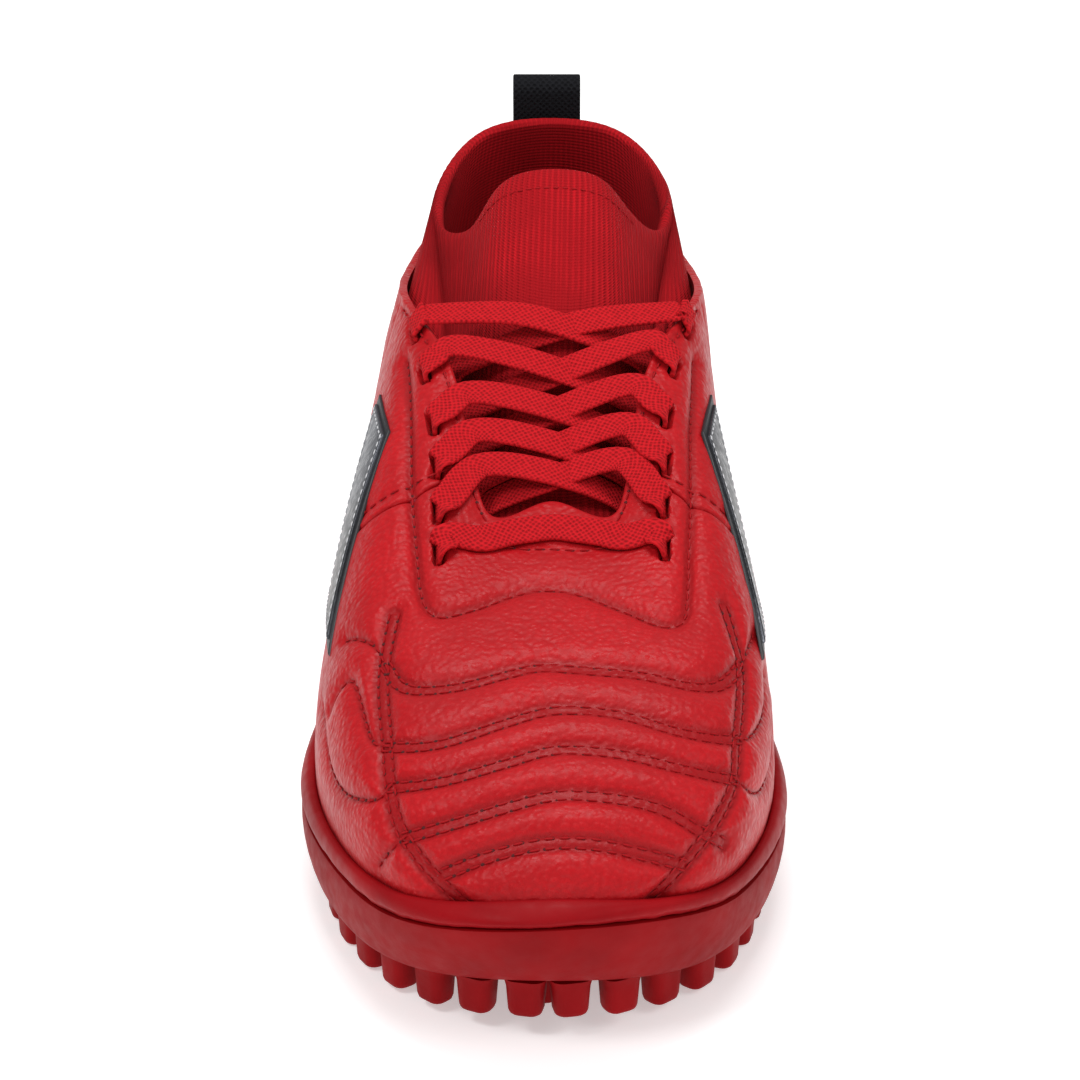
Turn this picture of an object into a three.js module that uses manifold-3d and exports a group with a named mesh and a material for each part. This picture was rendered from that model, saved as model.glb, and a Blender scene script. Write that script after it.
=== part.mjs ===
// Turf boot, right foot: millimetres, +Z up, toe towards -Y, studs on z = 0.
import * as THREE from "three";
import { mergeVertices } from "three/addons/utils/BufferGeometryUtils.js";
import Module from "manifold-3d";

// ---- driving dimensions -------------------------------------------------
const SCALE = 1; // whole boot; 1 is about EU 42.5
const RING = 48; // samples round the boot
const COLUMNS = 16; // landmark columns: 0 toe, 1-7 lateral, 8 heel, 9-15 medial

const LEATHER = 1.3; // outer leather
const GAP = 0.3; // between plies that touch
const FOAM = [1.75, 2.9]; // quilting foam, depth under the leather's face
const STIFFENER = [3.6, 4.1]; // toe puff
const BACKER = [1.6, 4.1]; // heel counter and quarter foam
const TAPE = [1.6, 2.4]; // eyelet tape
const LINING = [4.4, 5.4];

const FLOOR_THICK = 3; // outsole tread plate
const TRAY_WALL = 2.5; // outsole side wall
const LIP_THICK = 1.9; // midsole lip round the upper
const GROOVE_DEPTH = 0.7;
const BOARD_THICK = 1.6;
const SOCK_THICK = 3.2;
// Leather's lower edge inside the sole seam: more at the toe, whose sole wall leans.
const FEATHER_INSET = { side: 4.2, toe: 8.5 };

const STUD = { spacing: 11.5, inset: 5.2, long: 7.6, wide: 6.2, tip: 0.74 };
const NUB = { pitch: 13.5, radius: 3.6, tip: 0.78, margin: 13 };

const KNIT = { tongue: 3.0, collar: 3.2, under: 10.9, beside: 2.0, rows: 9 };

const EYELET = { long: 10, wide: 4 };
const LACE = { width: 7.2, thick: 1.2, arch: 8 }; // arch: how far the lowest row bows up the tongue

const TAB = {
  width: 17, ply: 1.3, y: 286.9, foot: 91, top: 117.8, gap: 6.4, sewn: 0.8, flare: 9, lean: 3, heel: 0.13,
};
const STRIP = { width: 19, thick: 1.1, from: 0.5, to: 0.9 };
const PATCH = { base: [0.3, 1.0], film: [1.3, 1.7], inset: 0.09 };

// Landmarks of the upper, rows from the feather edge up to the top edge.
const UPPER = {
  feather: [27, 26, 21, 19, 20, 23, 26, 27, 28, 27, 26, 24, 21, 19, 21, 26],
  wall: [
    [5, -9, 44], [-38, 2, 45], [-53, 41, 43], [-53, 88, 42], [-48, 134, 44], [-42, 186, 45],
    [-41, 236, 46], [-27, 285, 46], [1, 297, 48], [28, 285, 46], [41, 236, 46],
    [38, 186, 47], [46, 134, 44], [54, 84, 43], [55, 38, 44], [44, 1, 45],
  ],
  crown: [
    [4, 20, 63], [-28, 32, 62], [-45, 58, 62], [-50, 96, 65], [-48, 138, 68], [-42, 184, 66],
    [-37, 234, 64], [-23, 280, 62], [1, 290, 64], [24, 280, 62], [37, 234, 64],
    [41, 184, 68], [47, 136, 68], [51, 92, 66], [47, 55, 63], [33, 30, 62],
  ],
  shoulder: [
    [3, 64, 62], [-17, 70, 63], [-29, 84, 69], [-37, 108, 82], [-40, 144, 90], [-39, 180, 86],
    [-36, 232, 76], [-24, 280, 74], [1, 290, 76], [25, 280, 74], [38, 232, 76],
    [42, 180, 86], [40, 143, 90], [39, 107, 82], [32, 82, 69], [21, 68, 63],
  ],
  edge: [
    [2, 107, 74], [-9, 107, 74], [-14, 113, 77], [-17, 132, 87], [-21, 154, 99],
    [-35, 178, 102], [-34, 226, 88], [-23, 279, 87], [1, 288, 91], [24, 279, 87],
    [37.5, 226, 88], [39, 178, 102], [24, 154, 99], [20, 132, 87], [18, 113, 77], [13, 107, 74],
  ],
};
// Landmarks the curves pass through: knit rim, sole's lower edge, sole seam.
const RIM = [
  [4.5, 205, 124], [-6, 206, 122.5], [-13, 209.5, 115.5], [-18.5, 215, 104.5], [-25, 224, 101],
  [-27, 237, 101.3], [-24.5, 255, 104], [-15, 271, 108.5], [1.3, 277.5, 109.3],
  [18, 272.5, 108.4], [28.5, 257, 104.4], [32, 238, 101], [30.5, 224, 101], [25.5, 214, 105.5],
  [19.5, 209, 114.5], [14, 206, 121.5],
];
const TREAD = [
  [2, 7, 15.5], [-25.6, 20, 10.5], [-42.6, 43, 8], [-51, 82, 7], [-43.5, 134, 7], [-38, 184, 7],
  [-38, 236, 7], [-25, 280, 7.5], [1, 292, 8.5], [26, 280, 7.5], [38.5, 236, 7],
  [34.5, 184, 7], [41.5, 134, 7], [51, 78, 7], [43, 39, 8], [27, 19, 10.5],
];
const SEAM = [
  [2, -1, 33], [-28, 11, 28], [-44.8, 42.5, 22.3], [-54.2, 85, 20], [-47, 134, 20],
  [-42, 184, 21.2], [-41, 236, 22.8], [-27, 283, 23.8], [1, 297, 24.5], [28, 283, 23.8],
  [41, 236, 22.8], [38, 184, 21.6], [45.5, 134, 20.2], [54.3, 81, 19.6], [46, 39.5, 22.2],
  [31.5, 14.5, 28],
];
const LIP = [37.6, 33, 29, 27, 27.3, 28.3, 29.8, 31, 31.5, 31, 29.8, 28.5, 27.4, 27, 28.8, 32.6];

// Eyelets [u, h]: lateral from the ankle to the toe, then medial.
const EYELETS = {
  lateral: [[4.5, 0.95], [3.98, 0.92], [3.38, 0.91], [2.92, 0.9], [2.45, 0.875], [2.05, 0.84]],
  medial: [[-4.6, 0.95], [-4.06, 0.92], [-3.48, 0.905], [-3.0, 0.89], [-2.54, 0.875], [-2.14, 0.84]],
};
// Slanted side panel as four [u, h] corners: front low, back low, back high, front high.
const PANEL = [[2.75, 0.4], [3.55, 0.36], [4.4, 0.74], [3.75, 0.77]];

// ---- curves and surfaces ------------------------------------------------
const v3 = (a) => new THREE.Vector3(a[0], a[1], a[2]);
const mix = (a, b, t) => a.clone().lerp(b, t);
const smooth = (a, b, x) => THREE.MathUtils.smoothstep(x, a, b);

// Uniform cubic B-spline round the boot.
function ringSpline(points, u) {
  const n = points.length;
  const base = Math.floor(u);
  const t = u - base;
  const w = [
    (1 - t) ** 3 / 6,
    (3 * t ** 3 - 6 * t ** 2 + 4) / 6,
    (-3 * t ** 3 + 3 * t ** 2 + 3 * t + 1) / 6,
    t ** 3 / 6,
  ];
  const out = new THREE.Vector3();
  for (let k = 0; k < 4; k++) {
    out.addScaledVector(points[(((base + k - 1) % n) + n) % n], w[k]);
  }
  return out;
}

// Control points whose spline passes through the given points.
function through(points) {
  const target = points.map(v3);
  const control = target.map((p) => p.clone());
  for (let pass = 0; pass < 60; pass++) {
    const miss = target.map((p, i) => p.clone().sub(ringSpline(control, i)));
    control.forEach((c, i) => c.add(miss[i]));
  }
  return control;
}

// Points of a ring moved sideways by d, outwards for d > 0.
function insetRing(points, d) {
  const n = points.length;
  return points.map((p, i) => {
    const a = points[(i + n - 1) % n];
    const b = points[(i + 1) % n];
    const side = new THREE.Vector3(a.y - b.y, b.x - a.x, 0).normalize();
    return p.clone().addScaledVector(side, d);
  });
}

const seamNet = through(SEAM);
const treadNet = through(TREAD);
const rimNet = through(RIM);
const lipNet = through(LIP.map((z) => [0, 0, z]));

const inset = (i) => {
  const fromToe = Math.min(i, COLUMNS - i);
  return THREE.MathUtils.lerp(FEATHER_INSET.toe, FEATHER_INSET.side, smooth(0, 2, fromToe));
};
const seamLine = SEAM.map((p, i) => v3([p[0], p[1], UPPER.feather[i]]));
const featherLine = seamLine.map((p, i) => insetRing(seamLine, -inset(i))[i]);
const featherNet = through(featherLine.map((p) => [p.x, p.y, p.z]));
const upperRows = [featherNet, ...["wall", "crown", "shoulder", "edge"].map((k) => UPPER[k].map(v3))];

function bezier(points, t) {
  const p = points.map((q) => q.clone());
  for (let n = p.length - 1; n > 0; n--) {
    for (let i = 0; i < n; i++) p[i].lerp(p[i + 1], t);
  }
  return p[0];
}

const upperPoint = (u, h) => bezier(upperRows.map((r) => ringSpline(r, u)), h);

function normalOf(surface, u, h) {
  const e = 0.01;
  const du = surface(u + e, h).sub(surface(u - e, h));
  const dh = surface(u, Math.min(1, h + e)).sub(surface(u, Math.max(0, h - e)));
  return dh.cross(du).normalize();
}

// A point of the leather's face moved out by d along the face's normal.
const skin = (u, h, d = 0) => upperPoint(u, h).addScaledVector(normalOf(upperPoint, u, h), d);

// Height h on the upper at which its face reaches z.
function riseTo(u, z) {
  let low = 0;
  let high = 0.6;
  for (let i = 0; i < 30; i++) {
    const mid = (low + high) / 2;
    if (upperPoint(u, mid).z < z) low = mid;
    else high = mid;
  }
  return (low + high) / 2;
}

// Knitted bootie: tongue in front, collar at the sides and heel.
function knitPoint(u, t) {
  const w = ((u % COLUMNS) + COLUMNS) % COLUMNS;
  const along = Math.min(w, COLUMNS - w);
  const side = smooth(4.5, 5.4, along);
  const depth = THREE.MathUtils.lerp(KNIT.under, KNIT.beside, side);
  const low = THREE.MathUtils.lerp(0.84, 0.8, side);
  const base = skin(u, low, -depth);
  const rim = ringSpline(rimNet, u);
  const front = [skin(u, 0.97, -KNIT.under)];
  front.push(mix(front[0], rim, 0.5));
  const line = skin(u, 1, -KNIT.beside - 0.3);
  const beside = [line, mix(line, rim, 0.55)];
  beside[1].z -= 1;
  return bezier([base, mix(front[0], beside[0], side), mix(front[1], beside[1], side), rim], t);
}

// ---- meshes -------------------------------------------------------------
class Body {
  constructor() {
    this.points = [];
    this.faces = [];
  }
  add(p) {
    this.points.push(p.x * SCALE, p.y * SCALE, p.z * SCALE);
    return this.points.length / 3 - 1;
  }
  quad(a, b, c, d) {
    this.faces.push(a, b, c, a, c, d);
  }
  geometry() {
    const g = new THREE.BufferGeometry();
    g.setAttribute("position", new THREE.Float32BufferAttribute(this.points, 3));
    g.setIndex(signedVolume(this) < 0 ? this.faces.slice().reverse() : this.faces);
    return g;
  }
}

function signedVolume({ points, faces }) {
  let v = 0;
  const at = (i) => new THREE.Vector3().fromArray(points, faces[i] * 3);
  for (let i = 0; i < faces.length; i += 3) v += at(i).dot(at(i + 1).cross(at(i + 2)));
  return v;
}

// Closed ply between two grids of points; closed = the grid runs round.
function ply(outer, inner, across, up, closed = false) {
  const body = new Body();
  const width = closed ? across : across + 1;
  const grids = [outer, inner].map((at) => {
    const rows = [];
    for (let i = 0; i < width; i++) {
      rows.push([]);
      for (let j = 0; j <= up; j++) rows[i].push(body.add(at(i / across, j / up)));
    }
    return rows;
  });
  for (let i = 0; i < across; i++) {
    const k = (i + 1) % width;
    for (let j = 0; j < up; j++) {
      body.quad(grids[0][i][j], grids[0][k][j], grids[0][k][j + 1], grids[0][i][j + 1]);
      body.quad(grids[1][i][j], grids[1][i][j + 1], grids[1][k][j + 1], grids[1][k][j]);
    }
    body.quad(grids[0][i][0], grids[1][i][0], grids[1][k][0], grids[0][k][0]);
    body.quad(grids[0][i][up], grids[0][k][up], grids[1][k][up], grids[1][i][up]);
  }
  if (!closed) {
    for (let j = 0; j < up; j++) {
      const n = across;
      body.quad(grids[0][0][j], grids[0][0][j + 1], grids[1][0][j + 1], grids[1][0][j]);
      body.quad(grids[0][n][j], grids[1][n][j], grids[1][n][j + 1], grids[0][n][j + 1]);
    }
  }
  return body.geometry();
}

// Ply of the upper: left and right are functions of h, or numbers.
function upperPly({ left, right, low, high, depth, across, up }) {
  const val = (f, x) => (typeof f === "function" ? f(x) : f);
  const at = (d) => (s, t) => {
    const rough = THREE.MathUtils.lerp(val(left, 0.5), val(right, 0.5), s);
    const bottom = val(low, rough);
    const h = THREE.MathUtils.lerp(bottom, val(high, rough), t);
    return skin(THREE.MathUtils.lerp(val(left, h), val(right, h), s), h, -d);
  };
  return ply(at(depth[0]), at(depth[1]), across, up);
}

// Rings of RING points stacked into one body, its two ends closed by cross strips.
function stack(rings) {
  const body = new Body();
  const rows = rings.map((ring) => ring.map((p) => body.add(p)));
  for (let r = 0; r + 1 < rows.length; r++) {
    for (let i = 0; i < RING; i++) {
      const k = (i + 1) % RING;
      body.quad(rows[r][i], rows[r][k], rows[r + 1][k], rows[r + 1][i]);
    }
  }
  const close = (row, flip) => {
    for (let i = 0; i < RING / 2; i++) {
      const a = row[i];
      const b = row[i + 1];
      const c = row[(RING - i - 1) % RING];
      const d = row[(RING - i) % RING];
      if (i > 0) body.faces.push(...(flip ? [a, d, c] : [a, c, d]));
      if (i + 1 < RING / 2) body.faces.push(...(flip ? [a, c, b] : [a, b, c]));
    }
  };
  close(rows[0], true);
  close(rows[rows.length - 1], false);
  return body.geometry();
}

const ringU = Array.from({ length: RING }, (_, i) => (i * COLUMNS) / RING);
const ringOf = (f) => ringU.map(f);
const lifted = (ring, dz) => ring.map((p) => p.clone().setZ(p.z + dz));

// ---- joining and cutting ------------------------------------------------
const wasm = await Module();
wasm.setup();

function solid(geometry) {
  const bare = new THREE.BufferGeometry();
  bare.setAttribute("position", geometry.getAttribute("position"));
  if (geometry.index) bare.setIndex(geometry.index);
  const merged = mergeVertices(bare, 1e-3);
  return new wasm.Manifold(
    new wasm.Mesh({
      numProp: 3,
      vertProperties: new Float32Array(merged.attributes.position.array),
      triVerts: new Uint32Array(merged.index.array),
    }),
  );
}

function geometryOf(made) {
  const m = made.getMesh();
  const g = new THREE.BufferGeometry();
  g.setAttribute("position", new THREE.Float32BufferAttribute(m.vertProperties, 3));
  g.setIndex(Array.from(m.triVerts));
  return g;
}

// Frustum between two planes, its section a scaled outline of (x, y) points.
function frustum(outline, centre, turn, z0, z1, small) {
  const body = new Body();
  const c = Math.cos(turn);
  const s = Math.sin(turn);
  const rows = [[z0, small], [z1, 1]].map(([z, k]) =>
    outline.map(([x, y]) =>
      body.add(new THREE.Vector3(centre.x + k * (x * c - y * s), centre.y + k * (x * s + y * c), z)),
    ),
  );
  const n = outline.length;
  for (let i = 0; i < n; i++) {
    body.quad(rows[0][i], rows[0][(i + 1) % n], rows[1][(i + 1) % n], rows[1][i]);
  }
  for (let i = 1; i + 1 < n; i++) {
    body.faces.push(rows[0][0], rows[0][i + 1], rows[0][i], rows[1][0], rows[1][i], rows[1][i + 1]);
  }
  return solid(body.geometry());
}

// ---- outsole ------------------------------------------------------------
const tread = ringOf((u) => ringSpline(treadNet, u));
const seam = ringOf((u) => ringSpline(seamNet, u));
const feather = ringOf((u) => upperPoint(u, 0));

function wallPoint(i, k) {
  const p = mix(tread[i], seam[i], k);
  const bulge = insetRing([tread[(i + RING - 1) % RING], tread[i], tread[(i + 1) % RING]], 1)[1];
  return p.add(bulge.sub(tread[i]).multiplyScalar(1.2 * 4 * k * (1 - k)));
}

function outsoleShell() {
  const outer = [0, 0.33, 0.7, 1].map((k) => tread.map((_, i) => wallPoint(i, k)));
  const inner = insetRing(seam, -TRAY_WALL);
  const floor = lifted(insetRing(tread, -TRAY_WALL), FLOOR_THICK);
  const foot = floor.map((p, i) => mix(p, inner[i], 0.5));
  return stack([...outer, inner, foot, floor]);
}

// Height of the tread plate's underside at y on the centre line.
function treadZ(y) {
  for (let i = 0; i < RING / 2; i++) {
    if (tread[i].y <= y && y <= tread[i + 1].y) {
      const t = (y - tread[i].y) / (tread[i + 1].y - tread[i].y);
      return THREE.MathUtils.lerp(tread[i].z, tread[i + 1].z, t);
    }
  }
  return tread[0].z;
}
const groundZ = (y) => Math.max(0, treadZ(y) - 7.6); // studs at the toe rise with the tread

const RECT = [[-0.5, -0.5], [0.5, -0.5], [0.5, 0.5], [-0.5, 0.5]];
const ROUND = Array.from({ length: 8 }, (_, i) => [
  Math.cos((i + 0.5) * (Math.PI / 4)), Math.sin((i + 0.5) * (Math.PI / 4)),
]);

// Studs: blocks along the rim, then round nubs on a staggered grid inside.
function studs() {
  const made = [];
  const line = insetRing(tread, -STUD.inset);
  let left = STUD.spacing / 2;
  for (let i = 0; i < RING; i++) {
    const a = line[i];
    const b = line[(i + 1) % RING];
    const run = Math.hypot(b.x - a.x, b.y - a.y);
    let at = left;
    for (; at < run; at += STUD.spacing) {
      const p = mix(a, b, at / run);
      const outline = RECT.map(([x, y]) => [x * STUD.long, y * STUD.wide]);
      const turn = Math.atan2(b.y - a.y, b.x - a.x);
      made.push(frustum(outline, p, turn, groundZ(p.y), treadZ(p.y) + 1.5, STUD.tip));
    }
    left = at - run;
  }
  const inside = insetRing(tread, -NUB.margin);
  const holds = (x, y) => {
    let odd = false;
    for (let i = 0, j = RING - 1; i < RING; j = i++) {
      const a = inside[i];
      const b = inside[j];
      if (a.y > y !== b.y > y && x < ((b.x - a.x) * (y - a.y)) / (b.y - a.y) + a.x) odd = !odd;
    }
    return odd;
  };
  for (let row = 0, y = 24; y < 285; row++, y += NUB.pitch) {
    if (y > 148 && y < 190) continue; // smooth waist under the arch
    for (let k = -5; k <= 5; k++) {
      const x = 0.5 + (k + (row % 2) / 2) * NUB.pitch;
      if (!holds(x, y)) continue;
      const outline = ROUND.map(([a, b]) => [a * NUB.radius, b * NUB.radius]);
      const p = new THREE.Vector3(x, y, 0);
      made.push(frustum(outline, p, 0, groundZ(y), treadZ(y) + 1.5, NUB.tip));
    }
  }
  return made;
}

function outsole() {
  let body = solid(outsoleShell());
  for (const s of studs()) body = body.add(s);
  return geometryOf(body);
}

// ---- midsole, board, sockliner -----------------------------------------
function midsole() {
  const lip = ringOf((u) => ringSpline(lipNet, u).z);
  const floor = lifted(insetRing(tread, -TRAY_WALL - GAP), FLOOR_THICK + GAP);
  const shelf = lifted(insetRing(seam, -TRAY_WALL - GAP), GAP);
  const foot = floor.map((p, i) => mix(p, shelf[i], 0.5));
  const groove = lifted(insetRing(seam, -GROOVE_DEPTH), GAP);
  const band = lifted(seam, 1.3);
  const risen = ringU.map((u, i) => riseTo(u, lip[i]));
  const face = (d, k) => ringU.map((u, i) => skin(u, risen[i] * k, d));
  const top = face(GAP + LIP_THICK, 1).map((p, i) => p.setZ(lip[i]));
  const bulge = band.map((p, i) => mix(p, top[i], 0.6));
  const inner = [1, 0.66, 0.33, 0].map((k) => face(GAP + 0.15, k));
  inner[0].forEach((p, i) => p.setZ(lip[i]));
  const cup = inner[3].map((p, i) => p.clone().setZ(feather[i].z - BOARD_THICK - 2 * GAP));
  return stack([floor, foot, shelf, groove, band, insetRing(bulge, 0.7), top, ...inner, cup]);
}

function board() {
  const top = lifted(feather, -GAP);
  return stack([lifted(top, -BOARD_THICK), top]);
}

function bedZ(y) {
  const half = RING / 2;
  for (let i = 0; i < half; i++) {
    const a = feather[i];
    const b = feather[i + 1];
    const c = feather[(RING - i) % RING];
    const d = feather[RING - i - 1];
    if ((a.y <= y && y <= b.y) || i === half - 1) {
      const t = THREE.MathUtils.clamp((y - a.y) / (b.y - a.y), 0, 1);
      return THREE.MathUtils.lerp(Math.max(a.z, c.z), Math.max(b.z, d.z), t);
    }
    if (y < a.y) return Math.max(a.z, c.z);
  }
  return feather[half].z;
}

function sockliner() {
  const ring = (h, up) =>
    ringU.map((u) => {
      const p = skin(u, h, -LINING[1] - 1.2);
      return p.setZ(bedZ(p.y) + up);
    });
  return stack([ring(0.02, GAP), ring(0.06, GAP + SOCK_THICK)]);
}

// ---- plies of the upper --------------------------------------------------
const seamU = (h) => 2.5 + 2 * (1 - h); // vamp to quarter seam
const HEEL_SEAM = 7.35;
const CUT = 0.04; // half of the gap at a seam, in u

function eyeletCutters() {
  const out = [];
  for (const list of Object.values(EYELETS)) {
    list.forEach(([u, h], i) => {
      const here = skin(u, h);
      const ahead = list[Math.min(i + 1, 5)];
      const behind = list[Math.max(i - 1, 0)];
      const along = upperPoint(...behind).sub(upperPoint(...ahead)).normalize();
      const n = normalOf(upperPoint, u, h);
      along.addScaledVector(n, -along.dot(n)).normalize();
      const cross = new THREE.Vector3().crossVectors(along, n);
      const box = new THREE.BoxGeometry(EYELET.wide, EYELET.long, 2 * LINING[1] + 3);
      box.applyMatrix4(new THREE.Matrix4().makeBasis(cross, along, n).setPosition(here));
      box.scale(SCALE, SCALE, SCALE);
      out.push(solid(box));
    });
  }
  return out;
}
const cutters = eyeletCutters();

function punched(geometry) {
  let body = solid(geometry);
  for (const c of cutters) body = body.subtract(c);
  return geometryOf(body);
}

const LEATHER_DEPTH = [0, LEATHER];

// The same ply on either side: "a" and "b" bound it in |u|, side = 1 lateral, -1 medial.
function sidePly(side, a, b, rest) {
  const val = (f, x) => (typeof f === "function" ? f(x) : f);
  const flip = (f) => (h) => side * val(f, h);
  return upperPly({ left: flip(a), right: flip(b), ...rest });
}

const vamp = () =>
  punched(upperPly({
    left: (h) => -seamU(h) + CUT, right: (h) => seamU(h) - CUT, low: 0, high: 1,
    depth: LEATHER_DEPTH, across: 28, up: 14,
  }));

const quarter = (side) =>
  punched(sidePly(side, (h) => seamU(h) + CUT, HEEL_SEAM - CUT, {
    low: 0, high: 1, depth: LEATHER_DEPTH, across: 14, up: 12,
  }));

const heelPanel = () =>
  upperPly({
    left: HEEL_SEAM + CUT, right: COLUMNS - HEEL_SEAM - CUT, low: 0, high: 1,
    depth: LEATHER_DEPTH, across: 8, up: 10,
  });

const vampFoam = () =>
  upperPly({
    left: (h) => -seamU(h) + 0.2, right: (h) => seamU(h) - 0.2,
    low: 0.02, high: (u) => 0.92 - 0.16 * smooth(0.6, 1.6, Math.abs(u)),
    depth: FOAM, across: 28, up: 9,
  });

const toePuff = () =>
  upperPly({ left: -2.2, right: 2.2, low: 0.02, high: 0.42, depth: STIFFENER, across: 26, up: 8 });

const heelCounter = () =>
  upperPly({
    left: 5.3, right: COLUMNS - 5.3, low: 0.02, high: 0.74, depth: BACKER, across: 18, up: 5,
  });

const quarterFoam = (side) =>
  sidePly(side, (h) => seamU(h) + 0.15, 5.22, {
    low: 0.02, high: 0.74, depth: BACKER, across: 7, up: 6,
  });

const eyeletTape = (side) =>
  punched(sidePly(side, 1.75, 4.95, {
    low: 0.8, high: 0.97, depth: TAPE, across: 12, up: 2,
  }));

const liningTop = (u) => {
  const a = Math.min(Math.abs(u), COLUMNS - Math.abs(u));
  return THREE.MathUtils.lerp(0.965, 0.765, smooth(4.4, 4.9, a));
};
const LINING_SEAM = 3.9;

const vampLining = () =>
  punched(upperPly({
    left: -LINING_SEAM + CUT, right: LINING_SEAM - CUT, low: 0.02, high: liningTop,
    depth: LINING, across: 26, up: 9,
  }));

const heelLining = () =>
  punched(upperPly({
    left: LINING_SEAM + CUT, right: COLUMNS - LINING_SEAM - CUT, low: 0.02, high: liningTop,
    depth: LINING, across: 28, up: 7,
  }));

function knit() {
  const thick = (u) => {
    const a = Math.min(u, COLUMNS - u);
    return THREE.MathUtils.lerp(KNIT.tongue, KNIT.collar, smooth(3, 5, a));
  };
  const outer = (s, t) => knitPoint(s * COLUMNS, t);
  const inner = (s, t) => {
    const u = s * COLUMNS;
    return knitPoint(u, t).addScaledVector(normalOf(knitPoint, u, t), -thick(u));
  };
  return ply(outer, inner, RING, KNIT.rows, true);
}

// ---- overlays: side panels, heel strip, pull tab --------------------------
function sidePanel(side, inset, depth) {
  const corner = (s, t) => {
    const [a, b, c, d] = PANEL;
    const s1 = THREE.MathUtils.lerp(inset, 1 - inset, s);
    const t1 = THREE.MathUtils.lerp(inset / 2, 1 - inset / 2, t);
    const f = (k) =>
      (a[k] * (1 - s1) + b[k] * s1) * (1 - t1) + (d[k] * (1 - s1) + c[k] * s1) * t1;
    return [f(0), f(1)];
  };
  const at = (d) => (s, t) => {
    const [u, h] = corner(s, t);
    return skin(side * u, h, d);
  };
  return ply(at(depth[1]), at(depth[0]), 4, 10);
}

function heelStrip() {
  const half = STRIP.width / 2;
  const at = (d) => (s, t) => {
    const h = THREE.MathUtils.lerp(STRIP.from, STRIP.to, t);
    const slope = upperPoint(8.1, h).x - upperPoint(7.9, h).x;
    const p = skin(8 + ((s * 2 - 1) * half * 0.2) / slope, h, d);
    return p;
  };
  return ply(at(GAP + STRIP.thick), at(GAP), 6, 8);
}

// Loop of webbing standing behind the collar: its section in y, z runs along x.
function pullTab() {
  const { width, ply: t, y, foot, top, gap } = TAB;
  const r = gap / 2;
  const section = (list) =>
    list.map(([dy, z]) => {
      const lean = z < foot ? TAB.heel : TAB.lean / (top - foot);
      return new THREE.Vector3(0, y + dy - lean * (z - foot), z);
    });
  const arc = (radius) =>
    Array.from({ length: 7 }, (_, i) => {
      const w = Math.PI - (i * Math.PI) / 6;
      return [radius * Math.cos(w), top - r - t + radius * Math.sin(w)];
    });
  const both = (half) => [...half, null, ...half.map(([dy, z]) => [-dy, z]).reverse()];
  const band = (half, radius) => section(both(half).flatMap((p) => (p ? [p] : arc(radius))));
  const outer = band([[-t, foot - TAB.sewn], [-t - 0.05, foot], [-r - t, foot + TAB.flare]], r + t);
  const inner = band([[-0.1, foot + 2], [-0.25, foot + 3.5], [-r, foot + TAB.flare]], r);
  const at = (list) => (s, k) =>
    list[Math.round(s * list.length) % list.length].clone().setX(1 + (k - 0.5) * width);
  return ply(at(outer), at(inner), outer.length, 1, true);
}

// ---- lace -----------------------------------------------------------------
// One flat cord: tail, up through the lateral top eyelet, criss-cross down to
// the straight bar at the toe end and back up to the medial tail.
const OVER = LACE.thick / 2 + GAP + 0.25;
const UNDER = -LINING[1] - LACE.thick / 2 - GAP - 0.45;

// Hole k of one side: place, face normal, directions inboard and along the row.
function eyelet(side, k) {
  const list = side > 0 ? EYELETS.lateral : EYELETS.medial;
  const [u, h] = list[k];
  const n = normalOf(upperPoint, u, h);
  const ankle = upperPoint(...list[Math.max(k - 1, 0)]);
  const along = ankle.sub(upperPoint(...list[Math.min(k + 1, 5)]));
  along.addScaledVector(n, -along.dot(n)).normalize();
  const inboard = upperPoint(u, 1).sub(upperPoint(u, 0.96)).normalize();
  const reach = upperPoint(u, 1).distanceTo(upperPoint(u, h));
  return { u, h, at: upperPoint(u, h), n, along, inboard, reach };
}

// Point x inboard of a hole at height d over the face, past the throat's edge too.
function step(e, x, d) {
  const h = Math.min(1, e.h + ((1 - e.h) * x) / e.reach);
  return skin(e.u, h, d).addScaledVector(e.inboard, Math.max(0, x - e.reach));
}

// Points [place, width direction] from under hole e up through it and over the facing.
function upAndOver(e) {
  return [[0.3, UNDER + 1.1], [0, -2.7], [0.6, 0.8], [2.3, OVER + 0.2], [5, OVER + 0.15], [e.reach + 1.5, OVER]]
    .map(([x, d]) => [step(e, x, d), e.along]);
}
const under = (e) => [[e.reach + 2, UNDER], [4.5, UNDER - 0.1], [1.9, UNDER]].map(([x, d]) => [step(e, x, d), e.along]);

// A strand from the top of hole e to the underside of hole f; lift parts the crossing pair.
function cross(e, f, k, lift) {
  const over = upAndOver(e);
  const from = over[over.length - 1][0];
  const into = under(f);
  const n = e.n.clone().add(f.n).normalize();
  const run = into[0][0].clone().sub(from);
  const wide = new THREE.Vector3().crossVectors(n, run).normalize();
  if (wide.dot(e.along) < 0) wide.negate();
  const mid = mix(from, into[0][0], 0.5).addScaledVector(n, lift + (k ? 3 : 6));
  return [...over, [mid, wide], ...into];
}

function bar(e, f) {
  const over = upAndOver(e);
  const back = upAndOver(f).reverse();
  const y = (e.at.y + f.at.y) / 2;
  const between = [0.86, 0.74, 0.62, 0.5, 0.38, 0.26, 0.14].map((k) => {
    const u = THREE.MathUtils.lerp(f.u, e.u, k);
    let h = 0.8;
    while (h < 0.97 && upperPoint(u, h).y < y) h += 0.005;
    const ahead = upperPoint(u, 1).sub(upperPoint(u, 0.96)).normalize();
    const p = skin(u, h, OVER + 0.6).addScaledVector(ahead, LACE.arch * (1 - (2 * k - 1) ** 2));
    return [p, new THREE.Vector3(0, 1, 0.5).normalize()];
  });
  return [...over.slice(0, 5), ...between, ...back.slice(1)];
}

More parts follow.
